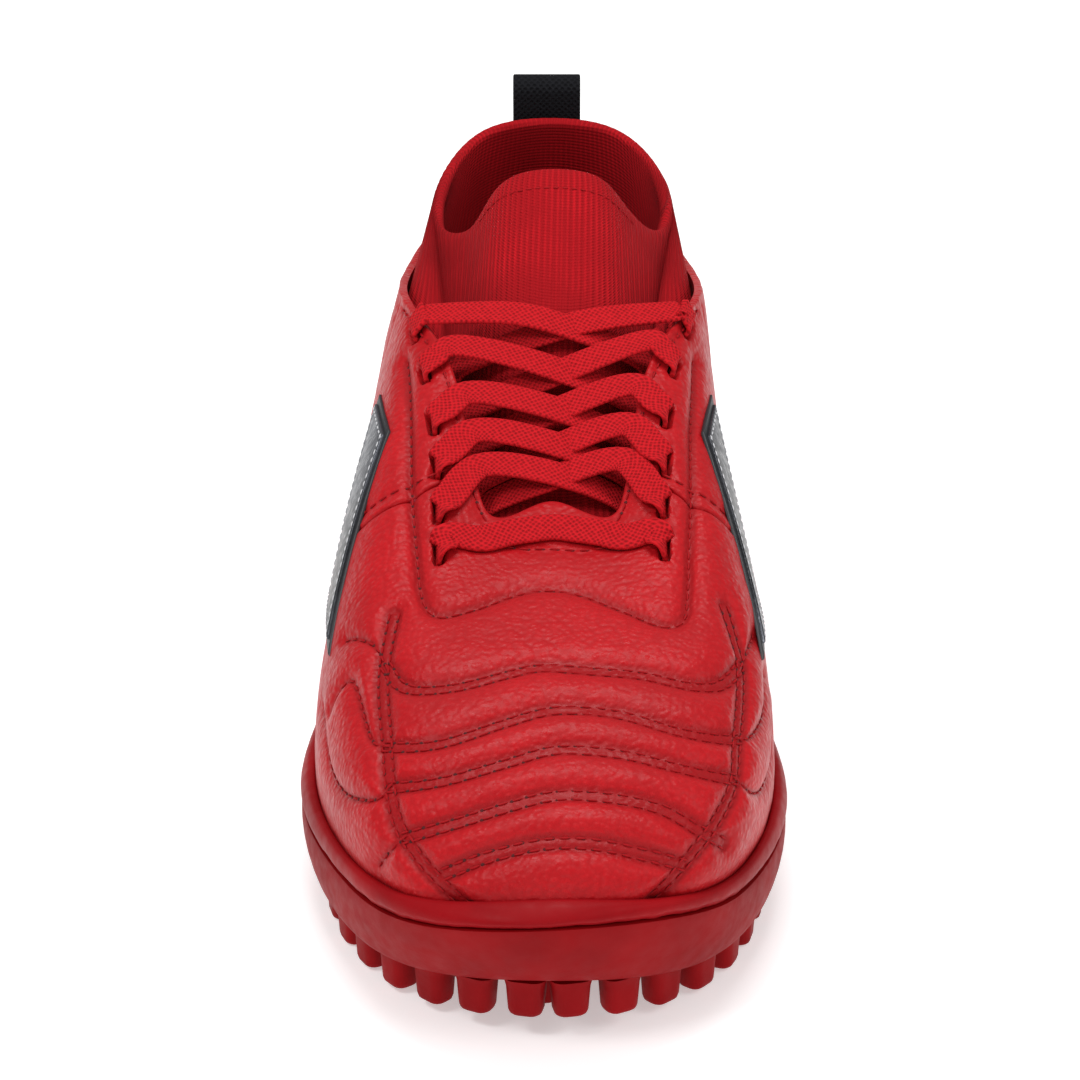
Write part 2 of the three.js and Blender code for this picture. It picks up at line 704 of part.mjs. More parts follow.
// Tail tucked between lining and bootie, then down inside the lining.
function tail(side) {
  const e = eyelet(side, 0);
  return [0.2, 0.32, 0.44, 0.56, 0.66, 0.76, 0.85, 0.91].map((h) => {
    const fore = upperPoint(e.u - 0.1 * side, h).sub(upperPoint(e.u + 0.1 * side, h)).normalize();
    return [skin(e.u, h, UNDER - 0.9), fore.negate().lerp(e.along, smooth(0.6, 0.9, h)).normalize()];
  });
}

function lacePath() {
  const last = 5;
  const path = [...tail(1)];
  let side = 1;
  for (let k = 0; k < last; k++, side = -side) {
    path.push(...cross(eyelet(side, k), eyelet(-side, k + 1), k, side > 0 ? 1 : -1));
  }
  path.push(...bar(eyelet(side, last), eyelet(-side, last)));
  const back = [];
  side = -1;
  for (let k = 0; k < last; k++, side = -side) {
    back.push(...cross(eyelet(side, k), eyelet(-side, k + 1), k, side > 0 ? 1 : -1));
  }
  path.push(...back.reverse(), ...tail(-1).reverse());
  return path;
}

function lace() {
  const path = lacePath();
  const curve = new THREE.CatmullRomCurve3(path.map((p) => p[0]), false, "centripetal");
  const body = new Body();
  const rows = [];
  const steps = 2 * (path.length - 1);
  for (let i = 0; i <= steps; i++) {
    const t = i / steps;
    const p = curve.getPoint(t);
    const tangent = curve.getTangent(t);
    const k = Math.min(path.length - 2, Math.floor(t * (path.length - 1)));
    const w = mix(path[k][1], path[k + 1][1], t * (path.length - 1) - k);
    w.addScaledVector(tangent, -w.dot(tangent)).normalize().multiplyScalar(LACE.width / 2);
    const n = new THREE.Vector3().crossVectors(tangent, w).normalize().multiplyScalar(LACE.thick / 2);
    rows.push([[1, 1], [-1, 1], [-1, -1], [1, -1]].map(([a, b]) =>
      body.add(p.clone().addScaledVector(w, a).addScaledVector(n, b))));
  }
  for (let i = 0; i < steps; i++) {
    for (let c = 0; c < 4; c++) {
      body.quad(rows[i][c], rows[i][(c + 1) % 4], rows[i + 1][(c + 1) % 4], rows[i + 1][c]);
    }
  }
  body.quad(rows[0][3], rows[0][2], rows[0][1], rows[0][0]);
  body.quad(rows[steps][0], rows[steps][1], rows[steps][2], rows[steps][3]);
  return body.geometry();
}

// ---- assembly ------------------------------------------------------------
const RED = 0xb4181f;
const KIT = {
  rubber: [0x8c1418, 0.75, 0], eva: [0x96161a, 0.8, 0], board: [0xb9a88c, 0.9, 0],
  sock: [0x7d1216, 0.9, 0], leather: [RED, 0.45, 0], foam: [0xd8cfc0, 0.95, 0],
  puff: [0xc9b48e, 0.7, 0], counter: [0x9c9388, 0.6, 0], lining: [0x7a1216, 0.95, 0],
  knit: [0x9e151b, 0.95, 0], tape: [0xe4dccd, 0.8, 0], lace: [0xb3161d, 0.85, 0],
  panel: [0x1d1a1b, 0.5, 0.1], film: [0x8f8d90, 0.3, 0.6], webbing: [0x141314, 0.85, 0],
};

const root = new THREE.Group();
root.name = "turf_boot";
function place(name, kit, geometry) {
  const [color, roughness, metalness] = KIT[kit];
  const mesh = new THREE.Mesh(geometry, new THREE.MeshStandardMaterial({ color, roughness, metalness }));
  mesh.name = name;
  root.add(mesh);
}

place("outsole", "rubber", outsole());
place("midsole", "eva", midsole());
place("strobel_board", "board", board());
place("sockliner", "sock", sockliner());
place("vamp", "leather", vamp());
place("heel_panel", "leather", heelPanel());
place("vamp_foam", "foam", vampFoam());
place("toe_puff", "puff", toePuff());
place("heel_counter", "counter", heelCounter());
place("vamp_lining", "lining", vampLining());
place("heel_lining", "lining", heelLining());
place("knit_bootie", "knit", knit());
place("heel_strip", "webbing", heelStrip());
place("pull_tab", "webbing", pullTab());
place("lace", "lace", lace());
for (const [name, side] of [["lateral", 1], ["medial", -1]]) {
  place(name + "_quarter", "leather", quarter(side));
  place(name + "_quarter_foam", "foam", quarterFoam(side));
  place(name + "_eyelet_tape", "tape", eyeletTape(side));
  place(name + "_panel", "panel", sidePanel(side, 0, PATCH.base));
  place(name + "_film", "film", sidePanel(side, PATCH.inset, PATCH.film));
}

// The frame's origin is the bottom centre of the whole boot.
const box = new THREE.Box3().setFromObject(root);
const shift = box.getCenter(new THREE.Vector3()).setZ(box.min.z).negate();
root.children.forEach((m) => m.geometry.translate(shift.x, shift.y, shift.z));

export default root;
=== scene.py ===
"""Turf football boot: quilted leather upper, knitted bootie, flat lace and studded rubber sole.

Every length is in millimetres in the maker's frame (toe at y = 0, heel at y = 297, ground at z = 0)
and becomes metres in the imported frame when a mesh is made.
"""

import math

import bmesh
import bpy
import numpy as np
from bpy.props import FloatProperty, FloatVectorProperty, PointerProperty
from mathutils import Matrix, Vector, kdtree, noise


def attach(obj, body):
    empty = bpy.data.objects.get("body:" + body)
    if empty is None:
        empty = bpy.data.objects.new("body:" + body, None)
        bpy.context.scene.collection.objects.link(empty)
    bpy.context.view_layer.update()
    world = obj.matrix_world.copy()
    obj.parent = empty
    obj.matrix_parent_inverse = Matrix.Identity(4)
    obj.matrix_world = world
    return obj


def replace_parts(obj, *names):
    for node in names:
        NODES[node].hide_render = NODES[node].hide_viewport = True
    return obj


bl_info = {
    "name": "Turf Boot",
    "version": (1, 0, 0),
    "blender": (4, 5, 0),
    "location": "View3D > Sidebar > Turf Boot",
    "description": "Builds a quilted leather turf boot round its packed frame",
    "category": "Object",
}

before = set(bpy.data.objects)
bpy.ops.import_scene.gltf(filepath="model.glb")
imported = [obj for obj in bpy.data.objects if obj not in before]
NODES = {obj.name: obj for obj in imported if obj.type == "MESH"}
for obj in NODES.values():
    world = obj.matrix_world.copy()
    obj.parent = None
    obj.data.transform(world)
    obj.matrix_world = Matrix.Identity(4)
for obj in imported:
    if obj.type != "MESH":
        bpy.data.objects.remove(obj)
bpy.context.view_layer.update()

MM = 0.001
SHIFT = np.array([-0.035, -148.0, 0.0])  # maker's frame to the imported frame
COLUMNS = 16  # landmark columns: 0 toe, 1-7 lateral, 8 heel, 9-15 medial

# ---- landmarks, as in the design ------------------------------------------
FEATHER_Z = [27, 26, 21, 19, 20, 23, 26, 27, 28, 27, 26, 24, 21, 19, 21, 26]
WALL = [
    (5, -9, 44), (-38, 2, 45), (-53, 41, 43), (-53, 88, 42), (-48, 134, 44), (-42, 186, 45),
    (-41, 236, 46), (-27, 285, 46), (1, 297, 48), (28, 285, 46), (41, 236, 46),
    (38, 186, 47), (46, 134, 44), (54, 84, 43), (55, 38, 44), (44, 1, 45),
]
CROWN = [
    (4, 20, 63), (-28, 32, 62), (-45, 58, 62), (-50, 96, 65), (-48, 138, 68), (-42, 184, 66),
    (-37, 234, 64), (-23, 280, 62), (1, 290, 64), (24, 280, 62), (37, 234, 64),
    (41, 184, 68), (47, 136, 68), (51, 92, 66), (47, 55, 63), (33, 30, 62),
]
SHOULDER = [
    (3, 64, 62), (-17, 70, 63), (-29, 84, 69), (-37, 108, 82), (-40, 144, 90), (-39, 180, 86),
    (-36, 232, 76), (-24, 280, 74), (1, 290, 76), (25, 280, 74), (38, 232, 76),
    (42, 180, 86), (40, 143, 90), (39, 107, 82), (32, 82, 69), (21, 68, 63),
]
EDGE = [
    (2, 107, 74), (-9, 107, 74), (-14, 113, 77), (-17, 132, 87), (-21, 154, 99),
    (-35, 178, 102), (-34, 226, 88), (-23, 279, 87), (1, 288, 91), (24, 279, 87),
    (37.5, 226, 88), (39, 178, 102), (24, 154, 99), (20, 132, 87), (18, 113, 77), (13, 107, 74),
]
RIM = [
    (4.5, 205, 124), (-6, 206, 122.5), (-13, 209.5, 115.5), (-18.5, 215, 104.5), (-25, 224, 101),
    (-27, 237, 101.3), (-24.5, 255, 104), (-15, 271, 108.5), (1.3, 277.5, 109.3),
    (18, 272.5, 108.4), (28.5, 257, 104.4), (32, 238, 101), (30.5, 224, 101), (25.5, 214, 105.5),
    (19.5, 209, 114.5), (14, 206, 121.5),
]
TREAD = [
    (2, 7, 15.5), (-25.6, 20, 10.5), (-42.6, 43, 8), (-51, 82, 7), (-43.5, 134, 7), (-38, 184, 7),
    (-38, 236, 7), (-25, 280, 7.5), (1, 292, 8.5), (26, 280, 7.5), (38.5, 236, 7),
    (34.5, 184, 7), (41.5, 134, 7), (51, 78, 7), (43, 39, 8), (27, 19, 10.5),
]
SEAM = [
    (2, -1, 33), (-28, 11, 28), (-44.8, 42.5, 22.3), (-54.2, 85, 20), (-47, 134, 20),
    (-42, 184, 21.2), (-41, 236, 22.8), (-27, 283, 23.8), (1, 297, 24.5), (28, 283, 23.8),
    (41, 236, 22.8), (38, 184, 21.6), (45.5, 134, 20.2), (54.3, 81, 19.6), (46, 39.5, 22.2),
    (31.5, 14.5, 28),
]
LIP_Z = [37.6, 33, 29, 27, 27.3, 28.3, 29.8, 31, 31.5, 31, 29.8, 28.5, 27.4, 27, 28.8, 32.6]
EYELETS = {
    1: [(4.5, 0.95), (3.98, 0.92), (3.38, 0.91), (2.92, 0.9), (2.45, 0.875), (2.05, 0.84)],
    -1: [(-4.6, 0.95), (-4.06, 0.92), (-3.48, 0.905), (-3.0, 0.89), (-2.54, 0.875), (-2.14, 0.84)],
}
ROWS = 6  # eyelets on each side, numbered from the collar down
PANEL = [(2.75, 0.4), (3.55, 0.36), (4.4, 0.74), (3.75, 0.77)]
FEATHER_INSET = {"side": 4.2, "toe": 8.5}
LINING = (4.4, 5.4)
KNIT = {"tongue": 3.0, "collar": 3.2, "under": 10.9, "beside": 2.0}
TAB = {"width": 17, "ply": 1.3, "y": 286.9, "foot": 91, "top": 117.8, "gap": 6.4,
       "sewn": 0.8, "flare": 9, "lean": 3, "heel": 0.13}

# ---- curves and surfaces ---------------------------------------------------


def smooth(low, high, x):
    t = np.clip((np.asarray(x, float) - low) / (high - low), 0, 1)
    return t * t * (3 - 2 * t)


def unit(v):
    return v / np.maximum(np.linalg.norm(v, axis=-1, keepdims=True), 1e-9)


def dot(a, b):
    return (a * b).sum(-1, keepdims=True)


def ring_spline(points, u):
    """Uniform cubic B-spline round the boot; u may be any array."""
    points = np.asarray(points, float)
    u = np.asarray(u, float)
    base = np.floor(u).astype(int)
    t = (u - base)[..., None]
    weights = ((1 - t) ** 3 / 6, (3 * t**3 - 6 * t**2 + 4) / 6,
               (-3 * t**3 + 3 * t**2 + 3 * t + 1) / 6, t**3 / 6)
    return sum(w * points[(base + k - 1) % len(points)] for k, w in enumerate(weights))


def through(points):
    """Control points whose spline passes through the given points."""
    target = np.asarray(points, float)
    control = target.copy()
    columns = np.arange(len(target))
    for _ in range(60):
        control += target - ring_spline(control, columns)
    return control


def inset_ring(points, d):
    """A ring of points moved sideways by d, outwards for d > 0."""
    points = np.asarray(points, float)
    run = np.roll(points, 1, 0) - np.roll(points, -1, 0)
    side = unit(np.stack([run[:, 1], -run[:, 0], 0 * run[:, 0]], 1))
    return points + side * np.asarray(d, float).reshape(-1, 1)


def feather_row():
    line = np.array([(p[0], p[1], z) for p, z in zip(SEAM, FEATHER_Z)], float)
    from_toe = np.minimum(np.arange(COLUMNS), COLUMNS - np.arange(COLUMNS))
    toe, side = FEATHER_INSET["toe"], FEATHER_INSET["side"]
    return through(inset_ring(line, -(toe + (side - toe) * smooth(0, 2, from_toe))))


SEAM_NET, TREAD_NET, RIM_NET = through(SEAM), through(TREAD), through(RIM)
LIP_NET = through([(0, 0, z) for z in LIP_Z])
UPPER = [feather_row(), WALL, CROWN, SHOULDER, EDGE]


def bezier(rows, t):
    rows = list(rows)
    t = np.asarray(t, float)[..., None]
    while len(rows) > 1:
        rows = [a + (b - a) * t for a, b in zip(rows, rows[1:])]
    return rows[0]


def upper(u, h):
    u, h = np.broadcast_arrays(np.asarray(u, float), np.asarray(h, float))
    return bezier([ring_spline(row, u) for row in UPPER], h)


def normal_of(surface, u, h, e=0.01):
    u, h = np.broadcast_arrays(np.asarray(u, float), np.asarray(h, float))
    du = surface(u + e, h) - surface(u - e, h)
    dh = surface(u, np.minimum(np.maximum(1, h), h + e)) - surface(u, np.maximum(0, h - e))
    return unit(np.cross(dh, du))


def skin(u, h, d=0.0):
    """The leather's face moved out by d."""
    d = np.asarray(d, float)[..., None] if np.ndim(d) else d
    return upper(u, h) + normal_of(upper, u, h) * d


def rise_to(u, z):
    low, high = np.zeros_like(u), np.full_like(u, 0.6)
    for _ in range(30):
        mid = (low + high) / 2
        below = upper(u, mid)[..., 2] < z
        low, high = np.where(below, mid, low), np.where(below, high, mid)
    return (low + high) / 2


def knit_surface(u, t):
    """Bootie: tongue in front, collar at the sides and heel."""
    u, t = np.broadcast_arrays(np.asarray(u, float), np.asarray(t, float))
    w = u % COLUMNS
    side = smooth(4.5, 5.4, np.minimum(w, COLUMNS - w))
    depth = KNIT["under"] + (KNIT["beside"] - KNIT["under"]) * side
    base = skin(u, 0.84 - 0.04 * side, -depth)
    rim = ring_spline(RIM_NET, u)
    side = side[..., None]
    front = skin(u, 0.97, -KNIT["under"])
    line = skin(u, 1.0, -KNIT["beside"] - 0.3)
    beside = line + (rim - line) * 0.55 - np.array([0, 0, 1.0])
    middle = (front + rim) / 2
    return bezier([base, front + (line - front) * side, middle + (beside - middle) * side, rim], t)


def seam_u(h):
    """Where the vamp meets the quarters."""
    return 2.5 + 2 * (1 - h)


def rounded_steps(n, lengths_mm, roll=0.5):
    """0..1 in n steps, with close steps at both ends for a rolled edge."""
    e = roll / lengths_mm
    middle = np.linspace(2 * e, 1 - 2 * e, n - 6)
    return np.concatenate([[0, 0.35 * e, e], middle, [1 - e, 1 - 0.35 * e, 1]])


def spans(p):
    """Each span's two points with the point before and the point after."""
    p = np.vstack([2 * p[0] - p[1], p, 2 * p[-1] - p[-2]])
    return [p[i - 1 : i + 3] for i in range(1, len(p) - 2)]


def catmull(points, per_span):
    """Smooth curve through a list of points."""
    points = np.asarray(points, float)
    t = np.arange(per_span)[:, None] / per_span
    out = [0.5 * (2 * b + (c - a) * t + (2 * a - 5 * b + 4 * c - d) * t**2
                  + (3 * b - a - 3 * c + d) * t**3) for a, b, c, d in spans(points)]
    return np.vstack(out + [points[-1:]])


def lengths(points):
    """Distance along a polyline at each of its points."""
    return np.concatenate([[0], np.cumsum(np.linalg.norm(np.diff(points, axis=0), axis=1))])


def places(points, at, want):
    """Points of a polyline where the distance along it, at, is want."""
    return np.stack([np.interp(want, at, column) for column in points.T], 1)


def even(points, pitch):
    """A polyline resampled at an even pitch."""
    at = lengths(points)
    n = max(2, int(round(at[-1] / pitch)) + 1)
    return places(points, at, np.linspace(0, at[-1], n))


def edge_steps(n):
    """Steps from the nearer end of a row of n points."""
    return np.minimum(np.arange(n), np.arange(n)[::-1])


def rolled(steps, first, second):
    """How far a rolled edge falls back on its first two rows of points."""
    return np.array([first, second, 0.0])[np.minimum(steps, 2)]


def rolled_sheet(n, m, first, second):
    return rolled(np.minimum(edge_steps(n)[:, None], edge_steps(m)[None]), first, second)


# ---- meshes ------------------------------------------------------------------


def in_scene(name, data):
    obj = bpy.data.objects.new(name, data)
    bpy.context.scene.collection.objects.link(obj)
    return obj


def link(name, verts, faces, body="boot", uvs=None, sharp=50, attributes=None):
    """Makes a piece from points in millimetres, its faces turned outwards."""
    verts = (np.asarray(verts, float).reshape(-1, 3) + SHIFT) * MM
    quads = np.asarray(faces, int)
    a, b, c = verts[quads[:, 0]], verts[quads[:, 1]], verts[quads[:, 2]]
    volume = (a * np.cross(b, c)).sum()
    if quads.shape[1] == 4:
        volume += (a * np.cross(c, verts[quads[:, 3]])).sum()
    if volume < 0:
        quads = quads[:, ::-1]
        uvs = uvs[:, ::-1] if uvs is not None else None
    mesh = bpy.data.meshes.new(name)
    mesh.from_pydata(verts.tolist(), [], quads.tolist())
    mesh.polygons.foreach_set("use_smooth", [True] * len(mesh.polygons))
    if uvs is not None:
        layer = mesh.uv_layers.new(name="UVMap")
        layer.data.foreach_set("uv", np.asarray(uvs, float).reshape(-1))
    for key, values in (attributes or {}).items():
        layer = mesh.attributes.new(key, "FLOAT", "POINT")
        layer.data.foreach_set("value", np.asarray(values, float).reshape(-1))
    mesh.update()
    mesh.set_sharp_from_angle(angle=math.radians(sharp))
    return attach(in_scene(name, mesh), body)


def grid_faces(n, m, closed, start=0, flip=False):
    i, j = np.meshgrid(np.arange(n if closed else n - 1), np.arange(m - 1), indexing="ij")
    i, j = i.ravel(), j.ravel()
    k = (i + 1) % n
    f = np.stack([i * m + j, k * m + j, k * m + j + 1, i * m + j + 1], 1) + start
    return f[:, ::-1] if flip else f


def ply(name, outer, inner, closed=False, uv=None, **kw):
    """Closed piece between two grids of points, each (n, m, 3)."""
    n, m = outer.shape[:2]
    count = n * m
    faces = [grid_faces(n, m, closed), grid_faces(n, m, closed, count, True)]
    i = np.arange(n if closed else n - 1)
    k = (i + 1) % n
    for j, flip in ((0, False), (m - 1, True)):
        rim = np.stack([i * m + j, i * m + j + count, k * m + j + count, k * m + j], 1)
        faces.append(rim[:, ::-1] if flip else rim)
    if not closed:
        j = np.arange(m - 1)
        for i0, flip in ((0, False), (n - 1, True)):
            base = i0 * m
            side = np.stack([base + j, base + j + 1, base + j + 1 + count, base + j + count], 1)
            faces.append(side[:, ::-1] if flip else side)
    faces = np.vstack(faces)
    uvs = None
    if uv is not None:
        flat = np.vstack([uv.reshape(-1, 2)] * 2)
        uvs = flat[faces]
        if closed:  # the last column meets the first, so its far corners run on past the seam
            span = uv[-1, 0, 0] * n / (n - 1)
            wide = uvs[..., 0].max(1) - uvs[..., 0].min(1) > span / 2
            uvs[wide, :, 0] += np.where(uvs[wide, :, 0] < span / 2, span, 0)
    points = np.vstack([outer.reshape(-1, 3), inner.reshape(-1, 3)])
    return link(name, points, faces, uvs=uvs, **kw)


def ring_walls(rings, sides):
    i, j = (x.ravel() for x in np.meshgrid(np.arange(rings - 1), np.arange(sides), indexing="ij"))
    k = (j + 1) % sides
    return np.stack([i * sides + j, i * sides + k, (i + 1) * sides + k, (i + 1) * sides + j], 1)


def capped(rings, sides):
    """Faces of rings of points, closed with quads across both ends."""
    j = np.arange(sides // 2 - 1)
    cap = np.stack([j, j + 1, sides - 2 - j, sides - 1 - j], 1)
    return np.vstack([ring_walls(rings, sides), cap[:, ::-1], cap + (rings - 1) * sides])


def sweep(name, path, wide, section, **kw):
    """Section points (a along wide, b along the normal) carried along a path."""
    tangent = unit(np.gradient(path, axis=0))
    wide = unit(wide - dot(wide, tangent) * tangent)
    up = np.cross(tangent, wide)
    rings = path[:, None] + wide[:, None] * section[None, :, :1] + up[:, None] * section[None, :, 1:2]
    faces = capped(*rings.shape[:2])
    uv = np.broadcast_arrays(lengths(path)[:, None] * MM, section[None, :, 0] * MM)
    uvs = np.stack(uv, -1).reshape(-1, 2)[faces]
    return link(name, rings.reshape(-1, 3), faces, uvs=uvs, **kw)


# ---- quilting ------------------------------------------------------------------
# Seam lines as [u, h] points on the leather: u > 0 lateral, u < 0 medial.
QUILT_DOUBLE = [
    [(1.83, 0.575), (1.5, 0.575), (1.0, 0.63), (0.5, 0.69), (0.1, 0.715), (-0.5, 0.7), (-0.97, 0.665),
     (-1.5, 0.585), (-1.85, 0.535), (-2.32, 0.49)],
    [(1.45, 0.435), (0.95, 0.5), (0.45, 0.58), (0.0, 0.62), (-0.55, 0.6), (-1.1, 0.52), (-1.8, 0.405)],
    [(1.3, 0.355), (0.85, 0.42), (0.4, 0.49), (0.0, 0.53), (-0.5, 0.51), (-1.0, 0.44), (-1.6, 0.335)],
    [(1.1, 0.25), (0.75, 0.32), (0.35, 0.39), (0.0, 0.425), (-0.4, 0.41), (-0.75, 0.36), (-1.07, 0.27),
     (-1.35, 0.2)],
    [(0.75, 0.19), (0.45, 0.26), (0.1, 0.305), (-0.25, 0.3), (-0.6, 0.25), (-0.9, 0.19)],
    [(2.1, 0.66), (1.95, 0.6), (1.83, 0.555), (1.48, 0.45), (1.3, 0.35), (1.18, 0.28), (1.05, 0.235),
     (0.85, 0.17), (0.62, 0.09)],
    [(-2.5, 0.6), (-2.38, 0.52), (-2.32, 0.49), (-1.8, 0.405), (-1.58, 0.33), (-1.25, 0.27), (-0.95, 0.2),
     (-0.72, 0.1)],
]
QUILT_SINGLE = [
    [(1.45, 0.435), (1.62, 0.42), (1.85, 0.445), (2.08, 0.465), (2.25, 0.455), (2.38, 0.4), (2.45, 0.33)],
    [(1.3, 0.355), (1.4, 0.31), (1.6, 0.275), (1.9, 0.24), (2.2, 0.235), (2.5, 0.27), (2.75, 0.28)],
    [(1.1, 0.25), (1.25, 0.19), (1.4, 0.13)],
    [(1.83, 0.575), (2.1, 0.575), (2.4, 0.53), (2.6, 0.48)],
    [(-1.8, 0.405), (-2.0, 0.37), (-2.25, 0.345), (-2.5, 0.33), (-2.8, 0.35), (-2.95, 0.32)],
    [(-1.6, 0.335), (-1.85, 0.26), (-2.15, 0.21), (-2.5, 0.2), (-2.8, 0.235)],
    [(-2.32, 0.49), (-2.6, 0.47), (-2.85, 0.44)],
]
LACE_PANEL = [
    (4.35, 0.87), (3.88, 0.845), (3.2, 0.82), (2.4, 0.79), (1.95, 0.755), (1.72, 0.745), (1.5, 0.755),
    (1.1, 0.81), (0.6, 0.865), (0.1, 0.885), (-0.45, 0.87), (-1.0, 0.815), (-1.4, 0.75),
    (-1.65, 0.72), (-1.85, 0.715), (-2.05, 0.735), (-2.5, 0.77), (-3.2, 0.79), (-4.05, 0.81), (-4.45, 0.85),
]
THROAT_ARC = [
    (1.85, 0.93), (1.2, 0.957), (0.5, 0.962), (0.1, 0.964), (-0.5, 0.96), (-1.3, 0.95), (-1.95, 0.925),
]
QUARTER_LINES = [  # mirrored on the medial side
    [(5.1, 0.95), (4.9, 0.6), (4.7, 0.3), (4.85, 0.05)],
    [(7.1, 0.93), (6.2, 0.9), (5.4, 0.93)],
    [(7.2, 0.45), (6.6, 0.5), (6.0, 0.44), (5.6, 0.28), (5.5, 0.08)],
]
TWIN = 1.15  # half the distance between the rows of a double seam
SEAM_STEP = 0.5  # between the points of a sewn line
DIP = {"width": 2.1, "power": 1.3, "ridge": 0.22, "reach": 9}  # the leather drawn in at a seam
FACE = {"mean": 0.5, "crease": 0.3, "depth": 1.15}  # the padded face between the seams
POCKET = {"half": 3.1, "near": 0.85, "far": 1.5, "deep": 3.2, "reach": 5}  # sunk round a lace slit


def on_skin(line):
    """[u, h] points as an even line on the leather, with its own u and h."""
    uh = catmull(line, 24)
    uh[:, 1] = np.minimum(uh[:, 1], 1)
    both = even(np.hstack([upper(uh[:, 0], uh[:, 1]), uh]), SEAM_STEP)
    return skin(both[:, 3], both[:, 4]), both[:, 3], both[:, 4]


def facing_line(side, back):
    """Edge stitching a few millimetres outboard of the throat's edge."""
    u = side * np.linspace(1.7, 4.9, 30)
    reach = np.linalg.norm(upper(u, 1.0) - upper(u, 0.9), axis=1) / 0.1
    return list(zip(u, 1 - back / reach))


def seam_line(side, shift):
    h = np.linspace(0.02, 0.985, 30)
    return list(zip(side * (seam_u(h) + shift), h))


def seams():
    """Every sewn line as (points, u, h, half gap of a double row, depth)."""
    groups = [(QUILT_DOUBLE, TWIN, 1.0), (QUILT_SINGLE, 0.0, 0.8), ([LACE_PANEL], 0.0, 1.0),
              ([THROAT_ARC], 0.0, 0.35)]
    for side in (1, -1):
        groups += [([facing_line(side, 2.3)], 0.0, 0.3), ([seam_line(side, 0.13)], 0.0, 0.35),
                   ([[(side * u, h) for u, h in line] for line in QUARTER_LINES], 0.0, 0.6)]
    return [(*on_skin(line), twin, depth) for lines, twin, depth in groups for line in lines]


class Quilt:
    """Height of the leather over its plain face, from the distance to the sewn lines."""

    def __init__(self, puff):
        self.puff = puff
        self.lines = seams()
        self.trees = []
        for points, _, _, twin, depth in self.lines:
            tree = kdtree.KDTree(len(points))
            for i, p in enumerate(points):
                tree.insert(p, i)
            tree.balance()
            box = points.min(0) - DIP["reach"], points.max(0) + DIP["reach"]
            self.trees.append((tree, twin, depth, *box))

    def height(self, points):
        flat = points.reshape(-1, 3)
        depth = np.zeros(len(flat))
        for tree, twin, deep, low, high in self.trees:
            near = np.flatnonzero(((flat > low) & (flat < high)).all(1))
            d = np.array([tree.find(flat[i])[2] for i in near]) if len(near) else np.zeros(0)
            outside = np.maximum(0, d - twin)
            dip = np.exp(-((outside / DIP["width"]) ** DIP["power"]))
            ridge = DIP["ridge"] * np.clip(1 - (d / max(twin, 0.1)) ** 2, 0, 1) if twin else 0
            depth[near] = np.maximum(depth[near], deep * (dip - ridge))
        creases = np.array([noise.noise(Vector(p) * 0.11) * 0.5 + noise.noise(Vector(p) * 0.3) * 0.16
                            for p in flat])
        top = FACE["mean"] + FACE["crease"] * creases
        return (top - (top + FACE["depth"]) * depth * self.puff).reshape(points.shape[:-1])


def slit_depth(points):
    """Pockets at the lace slits."""
    flat = points.reshape(-1, 3)
    out = np.zeros(len(flat))
    for side in (1, -1):
        for k in range(ROWS):
            e = eyelet(side, k)
            r = flat - e["at"]
            x, y, z = r @ e["across"], r @ e["along"], r @ e["n"]
            d = np.sqrt(np.maximum(np.abs(y) - POCKET["half"], 0) ** 2 + x**2)
            sunk = smooth_down(POCKET["near"], POCKET["far"], d) * POCKET["deep"]
            out = np.maximum(out, (np.abs(z) < POCKET["reach"]) * sunk)
    return out.reshape(points.shape[:-1])


def smooth_down(low, high, x):
    return 1 - smooth(low, high, x)


# ---- lace route, as in the design ---------------------------------------------------
LACE = {"width": 7.2, "thick": 1.2, "arch": 8}
OVER = LACE["thick"] / 2 + 0.3 + 0.25
UNDER = -LINING[1] - LACE["thick"] / 2 - 0.3 - 0.45


def eyelet(side, k):
    row = EYELETS[side]
    u, h = row[k]
    n = normal_of(upper, u, h)
    along = upper(*row[max(k - 1, 0)]) - upper(*row[min(k + 1, ROWS - 1)])
    along = unit(along - dot(along, n) * n)
    inboard = unit(upper(u, 1.0) - upper(u, 0.96))
    reach = np.linalg.norm(upper(u, 1.0) - upper(u, h))
    return {"u": u, "h": h, "at": upper(u, h), "n": n, "along": along, "inboard": inboard,
            "reach": reach, "across": np.cross(along, n)}


def step(e, x, d):
    h = min(1, e["h"] + (1 - e["h"]) * x / e["reach"])
    return skin(e["u"], h, d) + e["inboard"] * max(0, x - e["reach"])


def up_and_over(e):
    route = [(0.3, UNDER + 1.1), (0, -2.7), (0.6, 0.8), (2.3, OVER + 0.2), (5, OVER + 0.15),
             (e["reach"] + 1.5, OVER)]
    return [(step(e, x, d), e["along"]) for x, d in route]


def under(e):
    return [(step(e, x, d), e["along"]) for x, d in
            ((e["reach"] + 2, UNDER), (4.5, UNDER - 0.1), (1.9, UNDER))]


def crossing(e, f, k, lift):
    over, into = up_and_over(e), under(f)
    n = unit(e["n"] + f["n"])
    wide = unit(np.cross(n, into[0][0] - over[-1][0]))
    if wide @ e["along"] < 0:
        wide = -wide
    mid = (over[-1][0] + into[0][0]) / 2 + n * (lift + (3 if k else 6))
    return [*over, (mid, wide), *into]


